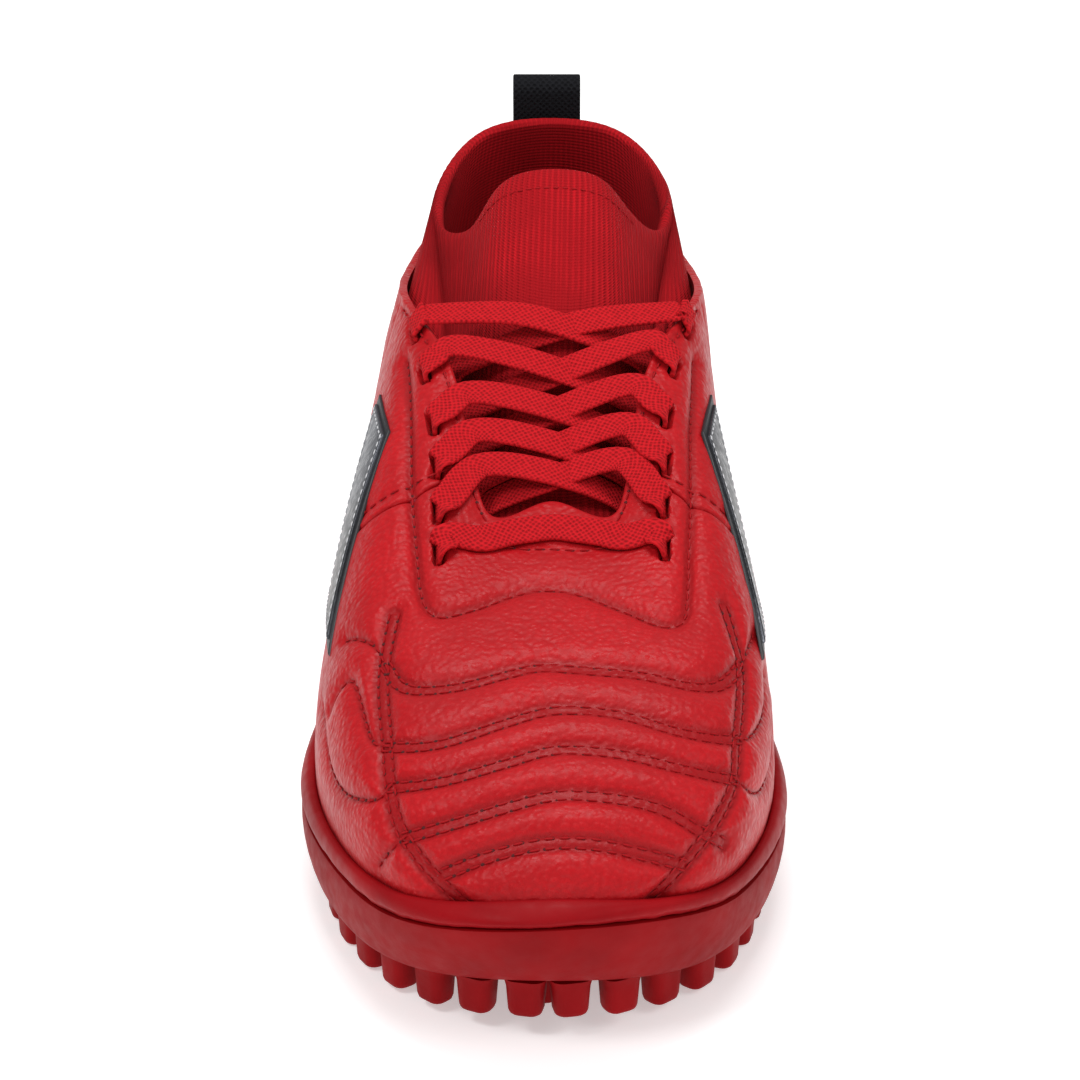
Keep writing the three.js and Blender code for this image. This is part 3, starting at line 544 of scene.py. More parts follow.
def bar(e, f):
    y = (e["at"][1] + f["at"][1]) / 2
    between = []
    for k in (0.86, 0.74, 0.62, 0.5, 0.38, 0.26, 0.14):
        u = f["u"] + (e["u"] - f["u"]) * k
        h = np.arange(0.8, 0.975, 0.005)
        h = h[np.argmax(upper(np.full_like(h, u), h)[:, 1] >= y)] if upper(u, 0.97)[1] >= y else 0.97
        ahead = unit(upper(u, 1.0) - upper(u, 0.96)) * LACE["arch"] * (1 - (2 * k - 1) ** 2)
        between.append((skin(u, h, OVER + 0.6) + ahead, unit(np.array([0, 1, 0.5]))))
    return [*up_and_over(e)[:5], *between, *up_and_over(f)[::-1][1:]]


def tail(side):
    e = eyelet(side, 0)
    out = []
    for h in (0.2, 0.32, 0.44, 0.56, 0.66, 0.76, 0.85, 0.91):
        fore = unit(upper(e["u"] + 0.1 * side, h) - upper(e["u"] - 0.1 * side, h))
        wide = fore + (e["along"] - fore) * smooth(0.6, 0.9, h)
        out.append((skin(e["u"], h, UNDER - 0.9), unit(wide)))
    return out


def descent(side):
    """One half of the lace, crossing from side to side down to the lowest row."""
    path = tail(side)
    for k in range(ROWS - 1):
        path += crossing(eyelet(side, k), eyelet(-side, k + 1), k, side)
        side = -side
    return path


def lace_path():
    low = ROWS - 1  # the first half ends on the medial side
    return descent(1) + bar(eyelet(-1, low), eyelet(1, low)) + descent(-1)[::-1]

# ---- materials ------------------------------------------------------------------------


WAVE_PERIOD = 0.314  # of a wave texture of scale 1


class Finish:
    """A Principled material with short ways to add texture nodes."""

    def __init__(self, name, roughness=0.5, **fixed):
        self.material = bpy.data.materials.new(name)
        self.material.use_nodes = True
        self.tree = self.material.node_tree
        self.shader = self.tree.nodes["Principled BSDF"]
        self.shader.inputs["Roughness"].default_value = roughness
        for key, value in fixed.items():
            self.shader.inputs[key.replace("_", " ")].default_value = value
        self.coords = self.tree.nodes.new("ShaderNodeTexCoord")

    def put(self, kind, links=None, **props):
        node = self.tree.nodes.new(kind)
        for key, value in props.items():
            if hasattr(node, key):
                setattr(node, key, value)
            else:
                node.inputs[key.replace("_", " ")].default_value = value
        for key, source in (links or {}).items():
            self.tree.links.new(source, node.inputs[key])
        return node

    def noise(self, scale, detail=3):
        where = {"Vector": self.coords.outputs["Object"]}
        return self.put("ShaderNodeTexNoise", where, Scale=scale, Detail=detail).outputs["Fac"]

    def cells(self, scale, feature="F1"):
        where = {"Vector": self.coords.outputs["Object"]}
        return self.put("ShaderNodeTexVoronoi", where, feature=feature, Scale=scale).outputs["Distance"]

    def pits(self, pitch):
        """Regular dots on the piece's own map, a quarter turned, 0 in the pit and 1 between."""
        turn = self.put("ShaderNodeMapping", {"Vector": self.coords.outputs["UV"]}, Rotation=(0, 0, 0.785))
        node = self.put("ShaderNodeTexVoronoi", {"Vector": turn.outputs["Vector"]}, Scale=1 / pitch,
                        Randomness=0.2)
        return self.ramp(node.outputs["Distance"], 0.12, 0.5)

    def waves(self, pitch, direction):
        """Bands on the piece's own map, a pitch apart."""
        return self.put("ShaderNodeTexWave", {"Vector": self.coords.outputs["UV"]},
                        bands_direction=direction, Scale=WAVE_PERIOD / pitch).outputs["Fac"]

    def math(self, operation, a, b):
        node = self.put("ShaderNodeMath", operation=operation)
        for i, value in enumerate((a, b)):
            if isinstance(value, (int, float)):
                node.inputs[i].default_value = value
            else:
                self.tree.links.new(value, node.inputs[i])
        return node.outputs[0]

    def attribute(self, name):
        return self.put("ShaderNodeAttribute", attribute_name=name).outputs["Fac"]

    def ramp(self, value, low, high, out_low=0.0, out_high=1.0):
        node = self.put("ShaderNodeMapRange", {"Value": value}, From_Min=low, From_Max=high,
                        To_Min=out_low, To_Max=out_high)
        return node.outputs["Result"]

    def blend(self, factor, a, b):
        node = self.put("ShaderNodeMix", data_type="RGBA")
        self.tree.links.new(factor, node.inputs["Factor"])
        for key, value in ((6, a), (7, b)):
            if isinstance(value, (tuple, list)):
                node.inputs[key].default_value = (*value[:3], 1)
            else:
                self.tree.links.new(value, node.inputs[key])
        return node.outputs[2]

    def colour(self, source):
        if isinstance(source, (tuple, list)):
            self.shader.inputs["Base Color"].default_value = (*source[:3], 1)
        else:
            self.tree.links.new(source, self.shader.inputs["Base Color"])

    def rough(self, source):
        self.tree.links.new(source, self.shader.inputs["Roughness"])

    def bump(self, *layers):
        """Layers of (height, depth in mm)."""
        normal = None
        for height, depth in layers:
            node = self.put("ShaderNodeBump", {"Height": height}, Strength=1.0, Distance=depth * MM)
            if normal is not None:
                self.tree.links.new(normal, node.inputs["Normal"])
            normal = node.outputs["Normal"]
        self.tree.links.new(normal, self.shader.inputs["Normal"])


def shade(colour, k):
    return tuple(min(1.0, c * k) for c in colour[:3])


def leather(name, colour):
    f = Finish(name, 0.46, Specular_IOR_Level=0.17, Sheen_Weight=0.02, Sheen_Roughness=0.5)
    tone = f.blend(f.ramp(f.noise(38, 4), 0.3, 0.72), shade(colour, 0.86), shade(colour, 1.1))
    # Painted shade: the colour falls to 0.6 of the leather where the groove attribute marks the face sunk at
    # the seams and slit pockets.
    groove_shade = f.blend(f.ramp(f.attribute("groove"), 0.6, 1.1), tone, shade(colour, 0.6))
    f.colour(f.blend(f.ramp(f.cells(820), 0.3, 0.75, 0.0, 0.4), groove_shade, shade(colour, 0.7)))
    f.rough(f.ramp(f.noise(420, 3), 0.3, 0.7, 0.33, 0.5))
    f.bump((f.cells(820, "SMOOTH_F1"), -0.27), (f.noise(2300, 2), 0.035), (f.noise(300, 3), 0.2))
    return f.material


def rubber(name, colour, roughness=0.52):
    f = Finish(name, roughness, Specular_IOR_Level=0.07)
    f.colour(f.blend(f.ramp(f.noise(55, 4), 0.35, 0.7), shade(colour, 0.85), shade(colour, 1.12)))
    f.rough(f.ramp(f.noise(300, 3), 0.3, 0.7, roughness - 0.07, roughness + 0.09))
    f.bump((f.noise(1400, 3), 0.03), (f.noise(90, 2), 0.15))
    return f.material


def knitted(name, colour):
    f = Finish(name, 0.9, Specular_IOR_Level=0.12, Sheen_Weight=0.06, Sheen_Roughness=0.5,
               Sheen_Tint=(*colour[:3], 1))
    ribs, loops = f.waves(0.0014, "X"), f.waves(0.0009, "Y")
    stitch = f.math("ADD", ribs, f.math("MULTIPLY", loops, 0.35))
    tone = f.blend(f.ramp(stitch, 0.0, 1.2), shade(colour, 0.6), shade(colour, 1.15))
    f.colour(f.blend(f.ramp(f.noise(60, 3), 0.35, 0.65), shade(colour, 0.75), tone))
    f.bump((ribs, 0.22), (loops, 0.1), (f.noise(3000, 2), 0.05))
    return f.material


def woven(name, colour, pitch, roughness=0.85, contrast=0.5, depth=0.2):
    """Woven cord, tape or webbing on the piece's own UV map, in metres."""
    f = Finish(name, roughness, Specular_IOR_Level=0.12, Sheen_Weight=0.03, Sheen_Roughness=0.4,
               Sheen_Tint=(*colour[:3], 1))
    yarn = f.pits(pitch)
    f.colour(f.blend(yarn, shade(colour, contrast), shade(colour, 1.12)))
    f.bump((yarn, depth), (f.noise(4000, 2), 0.04))
    return f.material


def cloth(name, colour, scale):
    """Brushed or foamed textile without a map of its own."""
    f = Finish(name, 0.92, Specular_IOR_Level=0.1, Sheen_Weight=0.04, Sheen_Roughness=0.5)
    f.colour(f.blend(f.ramp(f.noise(scale, 3), 0.3, 0.7), shade(colour, 0.7), shade(colour, 1.2)))
    f.bump((f.cells(scale * 0.8), -0.15), (f.noise(scale * 2, 2), 0.06))
    return f.material


def film(name, colour):
    """Satin metallic film with a fine pin-dot emboss."""
    f = Finish(name, 0.3, Metallic=0.6, Specular_IOR_Level=0.3)
    # Painted reflection: large noise patches make the film's colour darker and lighter across each panel, for
    # the uneven reflections of the metal film.
    f.colour(f.blend(f.ramp(f.noise(22, 2), 0.38, 0.62), shade(colour, 0.3), shade(colour, 1.9)))
    f.rough(f.ramp(f.noise(500, 3), 0.3, 0.7, 0.24, 0.42))
    f.bump((f.cells(900), 0.06), (f.noise(120, 2), 0.1))
    return f.material


def moulded(name, colour, roughness=0.6):
    f = Finish(name, roughness)
    f.colour(f.blend(f.ramp(f.noise(80, 4), 0.3, 0.7), shade(colour, 0.8), shade(colour, 1.15)))
    f.bump((f.noise(900, 3), 0.05))
    return f.material


FINISHES = {}


def finish(name):
    """The named finish, made once from the colours in the scene's settings."""
    c = bpy.context.scene.turf_colours
    makers = {
        "leather": lambda: leather("pebbled leather", c.leather),
        "rubber": lambda: rubber("moulded rubber", c.rubber),
        "eva": lambda: rubber("moulded foam band", c.band, 0.46),
        "knit": lambda: knitted("ribbed knit", c.knit),
        "lace": lambda: woven("flat woven cord", c.lace, 0.00095),
        "thread": lambda: woven("sewing thread", c.thread, 0.0004, 0.6, 0.75, 0.05),
        # Needle holes: dark dots of leather colour at 0.16, painted shade standing for the holes.
        "needle": lambda: moulded("needle hole", shade(c.leather, 0.16), 0.9),
        "panel": lambda: moulded("dark trim", c.trim, 0.5),
        "film": lambda: film("satin film", c.film),
        "silver": lambda: woven("silver thread", (0.62, 0.62, 0.64), 0.0004, 0.45, 0.8, 0.05),
        "webbing": lambda: woven("black webbing", c.webbing, 0.0011, 0.8, 0.5, 0.3),
        "lining": lambda: cloth("brushed lining", c.lining, 1400),
        "sock": lambda: cloth("sockliner cloth", shade(c.lining, 1.1), 1100),
        "foam": lambda: cloth("open foam", (0.12, 0.03, 0.032), 700),
        "board": lambda: cloth("lasting board", (0.48, 0.39, 0.27), 900),
        "tape": lambda: cloth("eyelet tape", shade(c.lining, 1.6), 1200),
        "puff": lambda: moulded("toe puff sheet", (0.58, 0.45, 0.28)),
        "counter": lambda: moulded("counter board", (0.34, 0.29, 0.25)),
    }
    if name not in FINISHES:
        FINISHES[name] = makers[name]()
    return FINISHES[name]


def dress(obj, name):
    obj.data.materials.clear()
    obj.data.materials.append(finish(name))
    return obj


# ---- Geometry Nodes: a small shape repeated along sewn lines or at points -----------------


def repeat_tree(name, along_curve):
    """Copies of an object along the input's edges, or on its points, turned to the surface."""
    tree = bpy.data.node_groups.new(name, "GeometryNodeTree")
    inputs = {"Geometry": "Geometry", "Shape": "Object", "Finish": "Material", "Pitch": "Float"}
    for key, kind in inputs.items():
        tree.interface.new_socket(key, in_out="INPUT", socket_type="NodeSocket" + kind)
    tree.interface.new_socket("Geometry", in_out="OUTPUT", socket_type="NodeSocketGeometry")
    new, join = tree.nodes.new, tree.links.new

    def named(key):
        node = new("GeometryNodeInputNamedAttribute")
        node.data_type = "FLOAT_VECTOR"
        node.inputs["Name"].default_value = key
        return node.outputs["Attribute"]

    source, sink = new("NodeGroupInput"), new("NodeGroupOutput")
    info = new("GeometryNodeObjectInfo")
    join(source.outputs["Shape"], info.inputs["Object"])
    place = new("GeometryNodeInstanceOnPoints")
    if along_curve:
        line = new("GeometryNodeMeshToCurve")
        spaced = new("GeometryNodeResampleCurve")
        spaced.mode = "LENGTH"
        join(source.outputs["Geometry"], line.inputs["Mesh"])
        join(line.outputs["Curve"], spaced.inputs["Curve"])
        join(source.outputs["Pitch"], spaced.inputs["Length"])
        join(spaced.outputs["Curve"], place.inputs["Points"])
        run = new("GeometryNodeInputTangent").outputs["Tangent"]
    else:
        join(source.outputs["Geometry"], place.inputs["Points"])
        run = named("run")
    first = new("FunctionNodeAlignRotationToVector")
    first.axis = "Z"
    join(named("face"), first.inputs["Vector"])
    second = new("FunctionNodeAlignRotationToVector")
    second.axis, second.pivot_axis = "X", "Z"
    join(first.outputs["Rotation"], second.inputs["Rotation"])
    join(run, second.inputs["Vector"])
    join(second.outputs["Rotation"], place.inputs["Rotation"])
    join(info.outputs["Geometry"], place.inputs["Instance"])
    real, paint = new("GeometryNodeRealizeInstances"), new("GeometryNodeSetMaterial")
    join(place.outputs["Instances"], real.inputs["Geometry"])
    join(real.outputs["Geometry"], paint.inputs["Geometry"])
    join(source.outputs["Finish"], paint.inputs["Material"])
    join(paint.outputs["Geometry"], sink.inputs["Geometry"])
    return tree


TREES = {}


def repeat(name, lines, shape, look, pitch=None):
    """One piece of copies of shape: lines is a list of (points, faces, runs), runs only at points."""
    verts, edges = [], []
    for points, *_ in lines:
        if pitch:
            edges += [(len(verts) + i, len(verts) + i + 1) for i in range(len(points) - 1)]
        verts += ((points + SHIFT) * MM).tolist()
    mesh = bpy.data.meshes.new(name + " lines")
    mesh.from_pydata(verts, edges, [])
    for key, column in (("face", 1), ("run", 2)):
        if column < len(lines[0]):
            layer = mesh.attributes.new(key, "FLOAT_VECTOR", "POINT")
            layer.data.foreach_set("vector", np.vstack([line[column] for line in lines]).reshape(-1))
    guide = in_scene(name + " guide", mesh)
    key = bool(pitch)
    if key not in TREES:
        TREES[key] = repeat_tree("repeat along seam" if key else "repeat at points", key)
    modifier = guide.modifiers.new("repeat", "NODES")
    modifier.node_group = TREES[key]
    sockets = {s.name: s.identifier for s in TREES[key].interface.items_tree if s.in_out == "INPUT"}
    modifier[sockets["Shape"]] = shape
    modifier[sockets["Finish"]] = finish(look)
    modifier[sockets["Pitch"]] = (pitch or 1.0) * MM
    evaluated = guide.evaluated_get(bpy.context.evaluated_depsgraph_get())
    result = bpy.data.meshes.new_from_object(evaluated)
    result.name = name
    for helper in (guide, shape):
        bpy.data.objects.remove(helper)
    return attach(in_scene(name, result), "boot")


def loose_shape(name, verts, faces):
    mesh = bpy.data.meshes.new(name)
    mesh.from_pydata((np.asarray(verts, float) * MM).tolist(), [], [list(f) for f in faces])
    mesh.polygons.foreach_set("use_smooth", [True] * len(mesh.polygons))
    work = bmesh.new()
    work.from_mesh(mesh)
    bmesh.ops.recalc_face_normals(work, faces=work.faces)
    work.to_mesh(mesh)
    work.free()
    mesh.set_sharp_from_angle(angle=math.radians(50))
    return in_scene(name, mesh)


def turned(name, verts, sides):
    """A loose shape from rings of points, closed with one face at each end."""
    last = len(verts) - sides
    ends = [tuple(range(sides)), tuple(range(last, len(verts)))]
    return loose_shape(name, verts, ring_walls(len(verts) // sides, sides).tolist() + ends)


def rounded_bar(length, width, height, rings=5, sides=6):
    """A thread dash lying along x, plump in the middle."""
    verts = []
    for i in range(rings):
        t = -1 + 2 * i / (rings - 1)
        r = math.sqrt(max(0.06, 1 - abs(t) ** 2.6)) / 2
        for k in range(sides):
            a = 2 * math.pi * k / sides
            verts.append((t * length / 2, r * width * math.cos(a), r * height * math.sin(a)))
    return turned("dash", verts, sides)


def tapered_block(outline, levels):
    """Outline points carried through (height, scale) levels."""
    return turned("block", [(x * k, y * k, z) for z, k in levels for x, y in outline], len(outline))


def rounded_rectangle(long, wide, radius, steps=4):
    points = []
    for cx, cy, start in ((1, 1, 0), (-1, 1, 90), (-1, -1, 180), (1, -1, 270)):
        for k in range(steps + 1):
            a = math.radians(start + 90 * k / steps)
            points.append((cx * (long / 2 - radius) + radius * math.cos(a),
                           cy * (wide / 2 - radius) + radius * math.sin(a)))
    return points


# ---- pieces ---------------------------------------------------------------------
# Each maker below builds one piece of the boot, or one group of like pieces.
WALL_BULGE = 1.2  # of the outsole's wall, half way up
BLOCK = {"outline": (7.6, 6.2, 2.3), "margin": 4.7, "shape": [
    (0, 0.62), (0.08, 0.8), (0.45, 0.93), (1.3, 1.01), (7.0, 1.12), (8.6, 1.22), (9.1, 1.26)]}
NUB = {"radius": 3.6, "margin": 13, "rows": (24, 285), "waist": (148, 190), "shape": [
    (0, 0.5), (0, 0.66), (0.3, 0.75), (0.9, 0.79), (7.9, 0.98), (8.6, 1.1), (9.1, 1.14)]}
STUD_HEIGHT = 7.6
LIP = [(0.0, 0.0), (0.12, 0.45), (0.28, 0.72), (0.46, 0.82), (0.64, 0.76), (0.8, 0.52), (0.92, 0.22)]
HEEL_SEAM, CUT = 7.35, 0.006  # in columns: the heel panel's seam, and half the gap at a seam


def ring_u(n):
    """Even places round the boot, half a step off the toe so that caps are all quads."""
    return (np.arange(n) + 0.5) * COLUMNS / n


def lifted(ring, dz):
    return ring + np.array([0, 0, dz])


def shell(name, rings, **kw):
    """Closed piece from rings of points."""
    return link(name, np.vstack(rings), capped(len(rings), len(rings[0])), **kw)


def wall_ring(u, k, out=0.0):
    tread, seam = ring_spline(TREAD_NET, u), ring_spline(SEAM_NET, u)
    side = inset_ring(tread, 1) - tread
    return tread + (seam - tread) * k + side * (WALL_BULGE * 4 * k * (1 - k) + out)


def tread_z(y):
    u = np.linspace(0, 8, 400)
    line = ring_spline(TREAD_NET, u)
    return np.interp(y, line[:, 1], line[:, 2])


def ground_z(y):
    return np.maximum(0, tread_z(y) - STUD_HEIGHT)


def outsole():
    u = ring_u(320)
    tread, seam = ring_spline(TREAD_NET, u), ring_spline(SEAM_NET, u)
    rings = [lifted(inset_ring(tread, -d), z) for d, z in ((9, 0.0), (2.2, 0.0), (1.0, 0.12), (0.35, 0.5))]
    rings.append(wall_ring(u, 0.09, -0.08))
    rings += [wall_ring(u, k) for k in (0.17, 0.3, 0.45, 0.6, 0.75, 0.88, 0.96)]
    rings += [lifted(inset_ring(seam, -d), z) for d, z in ((0.1, -0.1), (0.5, 0), (2.5, 0))]
    floor = lifted(inset_ring(tread, -2.5), 3.0)
    rings += [(floor + rings[-1]) / 2, floor]
    return dress(shell("outsole_rubber", rings, sharp=40), "rubber")


def tread_line(margin):
    return inset_ring(ring_spline(TREAD_NET, np.arange(48) / 3), -margin)


def stud_points(spacing):
    """Places and headings of the blocks round the rim."""
    line = tread_line(BLOCK["margin"])
    line = np.vstack([line, line[:1]])
    at = lengths(line[:, :2])
    want = np.arange(spacing / 2, at[-1], spacing)
    p = places(line, at, want)
    return p, unit((places(line, at, want + 0.5) - p) * [1, 1, 0])


def nub_points(pitch):
    """A staggered grid inside the rim, with a smooth waist."""
    a, out = tread_line(NUB["margin"]), []
    b = np.roll(a, -1, 0)
    for row, y in enumerate(np.arange(*NUB["rows"], pitch)):
        cut = (a[:, 1] > y) != (b[:, 1] > y)
        if NUB["waist"][0] < y < NUB["waist"][1] or not cut.any():
            continue
        xs = a[cut, 0] + (b - a)[cut, 0] * ((y - a[cut, 1]) / (b - a)[cut, 1])
        line = 0.5 + (np.arange(-5, 6) + (row % 2) / 2) * pitch
        out += [(x, y, 0.0) for x in line if xs.min() < x < xs.max()]
    return np.array(out)


def studs(spacing, pitch):
    """Rounded blocks round the rim and round nubs inside, standing on the ground."""
    r = NUB["radius"]
    circle = [(r * math.cos(a), r * math.sin(a)) for a in np.arange(16) * math.pi / 8]
    nubs = nub_points(pitch)
    for name, p, run, outline, shape in (
        ("rim_studs", *stud_points(spacing), rounded_rectangle(*BLOCK["outline"]), BLOCK["shape"]),
        ("sole_nubs", nubs, np.tile([1.0, 0, 0], (len(nubs), 1)), circle, NUB["shape"]),
    ):
        p[:, 2] = ground_z(p[:, 1])
        up = np.tile([0.0, 0, 1.0], (len(p), 1))
        repeat(name, [(p, up, run)], tapered_block(outline, shape), "rubber")


def midsole():
    u = ring_u(480)
    tread, seam = ring_spline(TREAD_NET, u), ring_spline(SEAM_NET, u)
    lip = ring_spline(LIP_NET, u)[:, 2]
    rough = np.array([noise.noise(Vector(p) * 0.35) for p in seam])[:, None] * np.array([0, 0, 0.35])
    floor = lifted(inset_ring(tread, -2.8), 3.3)
    shelf = lifted(inset_ring(seam, -2.8), 0.3)
    groove = lifted(inset_ring(seam, -1.5), 0.3)
    risen = rise_to(u, lip)
    top = skin(u, risen, 2.2)
    top[:, 2] = lip
    band = lifted(seam, 1.5) + rough
    side = unit((inset_ring(seam, 1) - seam) * [1, 1, 0])
    rings = [floor, (floor + shelf) / 2, shelf, groove, lifted(inset_ring(seam, -0.6), 0.55) + rough]
    rings += [band + (top - band) * k + side * out for k, out in LIP]
    for d, z in ((2.0, -0.12), (1.6, 0.0), (0.75, -0.02), (0.45, -0.5)):
        ring = skin(u, risen, d)
        ring[:, 2] = lip + z
        rings.append(ring)
    rings += [skin(u, risen * k, 0.45) for k in (0.66, 0.33, 0.0)]
    cup = upper(u, 0 * u)
    rings.append(rings[-1] * [1, 1, 0] + cup * [0, 0, 1] - [0, 0, 2.2])
    return dress(shell("midsole_band", rings, sharp=60), "eva")


def leather_ply(name, quilt, left, right, columns, rows, slits=True, peak=0.0):
    """One leather panel between left(h) and right(h), quilted, with rolled edges."""
    across, h = rounded_steps(columns, 130, 0.7), rounded_steps(rows, 90, 0.7)
    h = h[None, :]
    u = left(h) + (right(h) - left(h)) * across[:, None]
    h = h * (1 + peak * smooth_down(0.0, 1.9, np.abs(u)) * smooth(0.8, 1.0, h))
    plain = upper(u, h)
    height = quilt.height(plain)
    # groove: how far the face sinks at the seams, and then at the slit pockets; the leather finish darkens
    # its colour there as painted shade.
    groove = np.clip((0.1 - height) / 1.0, 0, 1)
    if slits:
        pocket = slit_depth(plain)
        height, groove = height - pocket, np.maximum(groove, pocket / POCKET["deep"])
    height = height - rolled_sheet(columns, rows, 0.85, 0.28)
    outer = skin(u, h, height)
    inner = skin(u, h, np.minimum(-1.5, height - 0.4))
    piece = ply(name, outer, inner, sharp=75,
                attributes={"groove": np.concatenate([groove.ravel(), 0 * groove.ravel()])})
    return dress(piece, "leather")


def vamp(quilt):
    """The toe and tongue root; peak raises its top edge at the centre, as a share of h."""
    return leather_ply("vamp_leather", quilt, lambda h: CUT - seam_u(h), lambda h: seam_u(h) - CUT,
                       330, 142, peak=0.06)


def quarters(quilt):
    out = []
    for side, name in ((1, "lateral_quarter_leather"), (-1, "medial_quarter_leather")):
        a, b = (lambda h: side * (seam_u(h) + CUT)), (lambda h: side * (HEEL_SEAM - CUT) + 0 * h)
        out.append(leather_ply(name, quilt, a, b, 190, 120))
    return out


def heel_panel(quilt):
    low, high = HEEL_SEAM + CUT, COLUMNS - HEEL_SEAM - CUT
    return leather_ply("heel_panel_leather", quilt, lambda h: low + 0 * h, lambda h: high + 0 * h,
                       100, 110, slits=False)


def sewn_rows(quilt, pitch):
    """Thread dashes along every sewn line, and the needle holes as dark dots of painted shade."""
    rows = []
    for points, u, h, twin, _ in quilt.lines:
        n = normal_of(upper, u, h)
        side = unit(np.cross(unit(np.gradient(points, axis=0)), n))
        for shift in ((-twin, twin) if twin else (0.0,)):
            p = points + side * shift
            p = p + n * (quilt.height(p)[:, None] + 0.3)
            rows.append((p, n))
    repeat("seam_threads", rows, rounded_bar(pitch * 0.7, 0.56, 0.5), "thread", pitch)
    between = [(p[3:] - n[3:] * 0.13, n[3:]) for p, n in rows]  # half a stitch on, and lower: dark dots of painted shade standing for the needle holes
    repeat("needle_holes", between, rounded_bar(0.85, 0.8, 0.3, rings=4), "needle", pitch)


def knit_wall(u):
    a = np.minimum(u % COLUMNS, COLUMNS - u % COLUMNS)
    return KNIT["tongue"] + (KNIT["collar"] - KNIT["tongue"]) * smooth(3, 5, a)


def knit_bootie():
    """Ribbed sock: outer face, rolled rim and dark lining face in one closed ring."""
    n, m = 400, 90
    u = np.arange(n)[:, None] * COLUMNS / n
    t = np.concatenate([np.linspace(0, 0.965, m - 8), np.linspace(0.972, 1, 8)])[None, :]
    outer, normal = knit_surface(u, t), normal_of(knit_surface, u, t)
    for _ in range(3):  # evened out, so that the wall never folds at the tight front corners
        normal = unit(sum(np.roll(normal, k, 0) for k in range(-9, 10)))
    wall = knit_wall(u) + 0 * t
    roll = np.sqrt(np.clip(1 - ((t - 0.955) / 0.045).clip(0, 1) ** 2, 0, 1)) + 0 * u
    around = np.broadcast_to(lengths(outer[:, -1])[:, None], (n, m))
    rib = 0.07 * np.cos(around * 2 * math.pi / 2.8)
    half = wall / 2
    face = (rib * roll - half * (1 - roll))[..., None]
    back = (-wall + half * (1 - roll))[..., None]
    run = np.linalg.norm(np.diff(outer, axis=1), axis=2)
    up_mm = np.concatenate([np.zeros((n, 1)), np.cumsum(run, axis=1)], 1)
    uv = np.stack([around, up_mm], -1) * MM
    piece = ply("knit_bootie_cloth", outer + normal * face, outer + normal * back, closed=True, uv=uv,
                sharp=80)
    return dress(piece, "knit")


def rim_seam(pitch):
    """Fine stitching a few millimetres under the tongue's edge."""
    u = np.linspace(-2.3, 2.3, 160)
    points, normal = knit_surface(u, 0.962 + 0 * u), normal_of(knit_surface, u, 0.962 + 0 * u)
    dash = rounded_bar(pitch * 0.45, 0.4, 0.34)
    repeat("tongue_threads", [(points + normal * 0.12, normal)], dash, "thread", pitch * 0.66)


def centripetal(points, per_span):
    """Smooth curve through unevenly spaced points."""
    t = np.arange(per_span)[:, None] / per_span
    out = []
    for a, b, c, d in spans(points):
        s = [max(1e-3, np.linalg.norm((y - x)[:3])) ** 0.5 for x, y in ((a, b), (b, c), (c, d))]
        t1 = ((b - a) / s[0] - (c - a) / (s[0] + s[1]) + (c - b) / s[1]) * s[1]
        t2 = ((c - b) / s[1] - (d - b) / (s[1] + s[2]) + (d - c) / s[2]) * s[1]
        out.append(b + t1 * t + (3 * (c - b) - 2 * t1 - t2) * t**2 + (2 * (b - c) + t1 + t2) * t**3)
    return np.vstack(out + [points[-1:]])


def flat_section(width, thick, crown=0.12):
    """Flat cord section: rounded edges and a slightly hollow middle."""
    r = thick / 2
    x = np.linspace(-1, 1, 9)
    top = list(zip(x * (width / 2 - r), r * (0.86 + crown * np.abs(x) ** 2)))
    end = [(width / 2 - r + r * math.cos(a), r * math.sin(a)) for a in (0.9, 0.45, 0, -0.45, -0.9)]
    return np.array(top + end + [(a, -b) for a, b in reversed(top)] + [(-a, b) for a, b in reversed(end)])


def lace():
    points = lace_path()
    both = np.array([np.concatenate([p, w * 4]) for p, w in points])
    route = centripetal(both, 9)
    section = flat_section(LACE["width"], LACE["thick"])
    return dress(sweep("lace_cord", route[:, :3], route[:, 3:], section, sharp=80), "lace")


def side_panels():
    """Slanted panels: a dark base with a satin film sewn on it."""
    out, rows = [], []
    corners = [(0, 0), (1, 0), (1, 1), (0, 1), (0, 0)]
    for side, name in ((1, "lateral"), (-1, "medial")):
        for part, inset, low, high in (("panel", 0.0, 0.25, 1.0), ("film", 0.09, 1.0, 1.65)):
            across, along = rounded_steps(40, 14, 0.25), rounded_steps(90, 45, 0.25)
            s, t = np.broadcast_arrays(across[:, None], along[None])
            u, h = panel_uv(s, t, inset)
            lift = high - rolled_sheet(40, 90, 0.3, 0.1)
            piece = ply(f"{name}_{part}_sheet", skin(side * u, h, lift), skin(side * u, h, low), sharp=60)
            out.append(dress(piece, part))
        for (s0, t0), (s1, t1) in zip(corners, corners[1:]):
            k = np.linspace(0, 1, 80)
            u, h = panel_uv(s0 + (s1 - s0) * k, t0 + (t1 - t0) * k, 0.135)
            rows.append((skin(side * u, h, 1.72), normal_of(upper, side * u, h)))
    repeat("panel_threads", rows, rounded_bar(1.5, 0.4, 0.34), "silver", 2.2)
    return out


def panel_uv(s, t, inset):
    a, b, c, d = (np.array(p) for p in PANEL)
    s = inset + (1 - 2 * inset) * s
    t = inset / 2 + (1 - inset) * t
    return [(a[k] * (1 - s) + b[k] * s) * (1 - t) + (d[k] * (1 - s) + c[k] * s) * t for k in (0, 1)]


